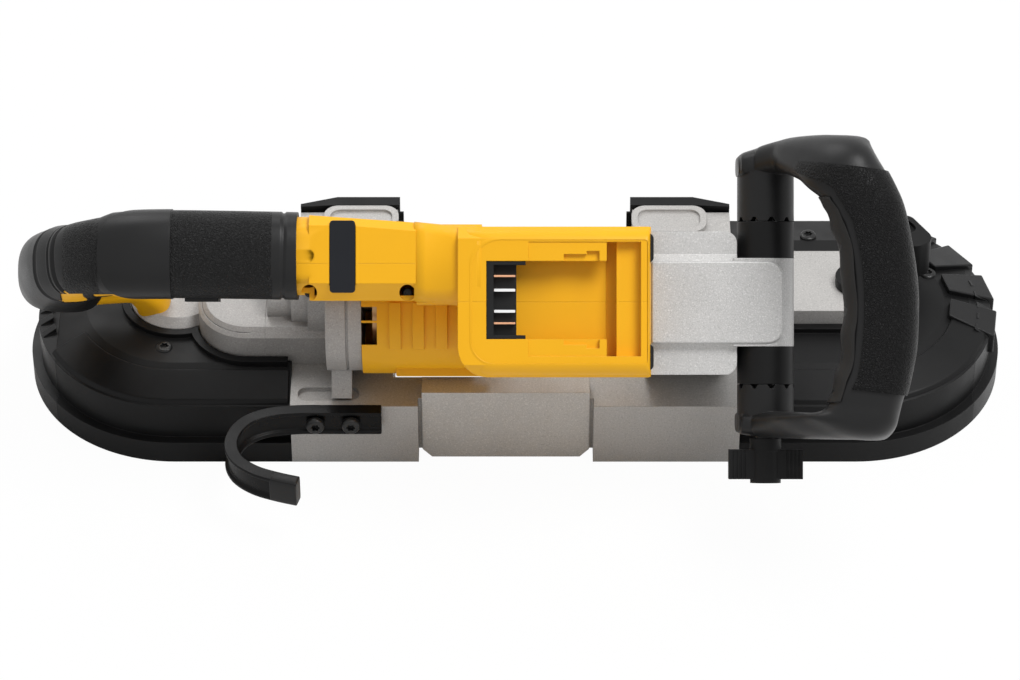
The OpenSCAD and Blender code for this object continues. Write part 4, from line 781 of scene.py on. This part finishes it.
def make_dock():
    """Rim round the battery recess and the pieces in its corners."""
    bm = bmesh.new()
    left, right, low, high = DOCK_EDGES
    rows = []
    for inset, up in ((0.0, 120.0), (0.0, 152.0), (0.25, 157.0), (1.2, 161.0), (3.0, 164.0), (5.2, 165.7),
                      (6.4, 166.2), (6.9, 166.35), (7.1, 166.1)):
        r = 15.3 - inset * 0.5
        rows.append((round_box((left + inset, right - 0.3 * inset), (low + inset, high - inset),
                               (r, 1.5, 1.5, 1.5 + 1.9 * inset)), up))
    ring_skin(bm, rows)
    make(bm, "dock_rim", "frame", "housing_yellow", sharp=60.0)
    bm = bmesh.new()
    for y in ((33.0, 48.5), (-21.0, -7.0)):
        slab(bm, round_box((66.0, 69.3), (y[0] + 0.4, y[1] - 0.4), (1.2, 2.6, 2.6, 1.2)), 150.5, 163.2)
    inserts = make(bm, "dock_corner_inserts", "frame", "rubber_black")
    soften(inserts, 0.5)


def make_housing_foot():
    """Flange along the low side of the motor housing."""
    bm = bmesh.new()
    slab(bm, round_box((-62.0, -14.0), (-24.3, -12.0), (1.0, 1.0, 1.0, 1.0), 3), 68.0, 87.0)
    foot = make(bm, "housing_flange", "frame", "housing_yellow")
    soften(foot, 0.8)


# Saddle: X, its two sides, its top, the chamfers on both sides and how far its sides go down
SADDLE_ROWS = ((-51.0, 14.2, 54.2, 159.9, 7.5, 5.6, 24), (-45.0, 13.6, 53.6, 159.9, 7.5, 5.8, 24),
               (-38.0, 12.8, 52.9, 160.6, 8.0, 6.2, 24), (-30.0, 12.0, 52.2, 162.9, 9.0, 7.0, 24),
               (-23.5, 11.2, 51.9, 165.3, 10.0, 7.6, 24), (-17.5, 11.0, 51.9, 166.3, 10.5, 8.0, 24))


def make_saddle():
    """Smooth skin from the neck's chamfered section to the wider dock."""
    bm = bmesh.new()
    edges = None
    for x, y0, y1, up, a, b, deep in SADDLE_ROWS:
        points = [(y0, up - deep), (y0, up - a * 1.1), (y0 + a * 0.3, up - a * 0.45), (y0 + a, up),
                  (y1 - b, up), (y1 - b * 0.3, up - b * 0.4), (y1, up - b), (y1, up - deep)]
        if edges is None:
            verts = [bm.verts.new((x, *p)) for p in points]
            edges = [bm.edges.new(pair) for pair in zip(verts, verts[1:])]
            continue
        made = bmesh.ops.extrude_edge_only(bm, edges=edges)["geom"]
        verts = [g for g in made if isinstance(g, bmesh.types.BMVert)]
        edges = [g for g in made if isinstance(g, bmesh.types.BMEdge) and set(g.verts) <= set(verts)]
        for v, p in zip(verts, points):
            v.co = (x, *p)
    make(bm, "saddle_skin", "frame", "housing_yellow", sharp=46.0, solid=1.5)


# The strut from the rear handle to the gear case, given as the rear handle's path is
HANDLE_END_PATH = [(-237.5, 28.8, 68.0, 17.3, 17.3), (-234.0, 27.0, 53.0, 16.2, 16.2),
                   (-227.0, 26.0, 45.5, 13.4, 13.2), (-213.0, 25.0, 41.0, 11.0, 11.0),
                   (-201.0, 23.6, 37.0, 9.6, 9.6), (-194.6, 18.4, 30.4, 9.0, 9.0),
                   (-192.8, 12.6, 23.0, 8.8, 8.8)]


def make_handle_end():
    """Smooth yellow end of the rear handle, down to the gear case."""
    path = spline(HANDLE_END_PATH, 6)
    stations = []
    for i, here in enumerate(path):
        ahead = path[min(i + 1, len(path) - 1)] - path[max(i - 1, 0)]
        stations.append(skin_station(here, Vector(ahead[:3]).normalized(), 0.2))
    bm = bmesh.new()
    loft(bm, squircle(48, 2.6), stations)
    end = make(bm, "handle_end", "frame", "housing_yellow", sharp=60.0)
    soften(end, 1.5)


GUARD_X = 180.0               # how far each wheel's axis is from the middle
BAND_R = 65.0
BAND_SECTION = [(-11.6, 18.4), (-9.8, 21.2), (8.2, 15.7), (9.8, 13.8), (9.8, 9.0), (-11.0, 14.0)]
TREAD_TURNS = (-8, 14, 36, 57)
TREAD_IN, TREAD_OUT = 53.0, 78.2


def make_guard_bands():
    """Raised band on the sloping side of each guard, along the leg and round the wheel."""
    bm = bmesh.new()
    for side in (-1, 1):
        stations = [station(Vector((side * x, -BAND_R, 0)), Vector((0, -1, 0)), Vector((0, 0, 1)),
                            Vector((side, 0, 0))) for x in (119.0, 130.0, 150.0, 170.0)]
        last = 78 if side > 0 else 66
        for k in range(0, last, 3):
            turn = math.radians(k - 90)
            stations.append(station(
                Vector((side * (GUARD_X + BAND_R * math.cos(turn)), BAND_R * math.sin(turn), 0)),
                Vector((side * math.cos(turn), math.sin(turn), 0)), Vector((0, 0, 1)),
                Vector((-side * math.sin(turn), math.cos(turn), 0))))
        loft(bm, BAND_SECTION, stations)
    bands = make(bm, "guard_bands", "frame", "guard_black", space=WHEEL, sharp=25.0)
    soften(bands, 0.7, 25.0)


PLATED_CONTACTS = (19.6, 9.0)


def make_contacts():
    """Plated edges on the two inner contact blades of the dock."""
    bm = bmesh.new()
    for across in PLATED_CONTACTS:
        blade = round_box((-10.8, -0.2), (across - 0.7, across + 0.7), (0.3, 0.3, 0.3, 0.3), 2)
        slab(bm, blade, 158.0, 164.65)
    make(bm, "plated_contacts", "frame", "bright_steel")


BARREL_END = (-23.6, 13.75, 73.2)    # on the motor's axis
BAR_STEP = 6.2


def make_end_wall():
    """Slotted end wall of the motor barrel, where its fan draws in air."""
    bm = bmesh.new()
    middle, along = Vector(BARREL_END), Vector((2.2, 0.0, 0.0))
    rings = [(34.2, 0), (34.2, 1), (28.5, 1), (28.5, 0), (34.2, 0)]
    stations = [station(middle + along * k, Vector((0, r, 0)), Vector((0, 0, r)), Vector((1, 0, 0)))
                for r, k in rings]
    loft(bm, squircle(96, 2.0), stations, capped=False)
    for k in range(-4, 5):
        off = BAR_STEP * k
        half = math.sqrt(31.0 ** 2 - off ** 2)
        bar = bmesh.new()
        slab(bar, round_box((off - 1.5, off + 1.5), (-half, half), (0.4, 0.4, 0.4, 0.4), 2), 0.2, 2.0)
        absorb(bm, bar, facing(*middle, axis=(1, 0, 0)))
    make(bm, "housing_end_wall", "frame", "housing_yellow", sharp=35.0)


def make_bridge_panel():
    """Raised panel along the bridge, up to the pivot boss."""
    bm = bmesh.new()
    slab(bm, round_box((68.6, 135.2), (-7.2, 34.4), (1.0, 8.0, 8.0, 1.0), 8), 145.0, 151.3)
    panel = make(bm, "bridge_panel", "frame", "cast_grey")
    soften(panel, 1.6)


def make_treads():
    """Stepped rubber blocks on the sloping end of the idler's guard."""
    bm = bmesh.new()
    for turn in TREAD_TURNS:
        block = bmesh.new()
        slab(block, [(TREAD_IN, -7.0), (TREAD_OUT, -10.5), (TREAD_OUT, 10.5), (TREAD_IN, 7.0)], 2.0, 10.0)
        for v in block.verts:
            if v.co.z > 5.0:
                v.co.z = 23.6 - 9.2 * (v.co.x - TREAD_IN) / (TREAD_OUT - TREAD_IN)
        place = Matrix.Translation(Vector((GUARD_X, 0.0, 0.0)))
        absorb(bm, block, place @ Matrix.Rotation(math.radians(turn), 4, "Z"))
    treads = make(bm, "bumper_treads", "frame", "rubber_black", space=WHEEL, sharp=30.0)
    soften(treads, 0.8)


def taper_neck(place):
    """Narrows the neck of the handle shells towards the dock, and levels its top."""
    x, across, up = place
    if x > -110.0:
        up = min(up, 160.0)
    if x > -86.0 and across > 36.0:
        across -= (across - 36.0) * 0.175 * (x + 86.0) / 36.0
    return Vector((x, across, up))


def soft_copy(name, angle=35.0, edge=0.0, shape=None):
    """A smooth-shaded copy of a node with soft edges, in place of the node."""
    bm = bmesh.new()
    bm.from_mesh(nodes[name].data)
    bm.transform(TOOL.inverted())
    bmesh.ops.remove_doubles(bm, verts=bm.verts, dist=0.02)
    if shape:
        for v in bm.verts:
            v.co = shape(v.co)
    flat = [e for e in bm.edges if len(e.link_faces) == 2 and e.calc_face_angle(0.0) < math.radians(0.5)]
    bmesh.ops.dissolve_edges(bm, edges=flat, use_verts=True)
    body = body_of(nodes[name])
    body = body if isinstance(body, str) else body[0]
    return make(bm, name + "_dressed", body, slot_of[name], replaces=(name,), sharp=angle,
                edge=edge)


# Nodes with a finish of their own: the darker castings, and darker grey copies on the main frame and the
# plate of the slide that are painted shade from the front handle
OWN_OR_SHADED_FINISH = {"main_frame": "frame_grey_painted_shade", "gear_case": "case_grey", "gear_head": "case_grey",
              "slide_plate": "slide_grey_painted_shade"}
slot_of = {row["node"]: row["material_slot"] for row in frame["record"]["subparts"]}
for name, piece in nodes.items():
    piece.data.materials.clear()
    piece.data.materials.append(finishes[OWN_OR_SHADED_FINISH.get(name, slot_of[name])])

make_rear_handle()
make_front_handle()
make_plate()
make_screws()
make_hook()
make_dock()
make_housing_foot()
make_saddle()
make_bridge_panel()
make_treads()
make_handle_end()
make_guard_bands()
make_contacts()
make_end_wall()
for shell in ("handle_shell_top", "handle_shell_side"):
    soft_copy(shell, 32.0, 0.5, taper_neck)

bpy.context.scene.view_settings.view_transform = "Standard"
make_camera()
make_world()
make_floor()
for lamp_name, (lamp_place, lamp_size, lamp_power) in LAMPS.items():
    make_lamp(lamp_name, lamp_place, lamp_size, lamp_power)
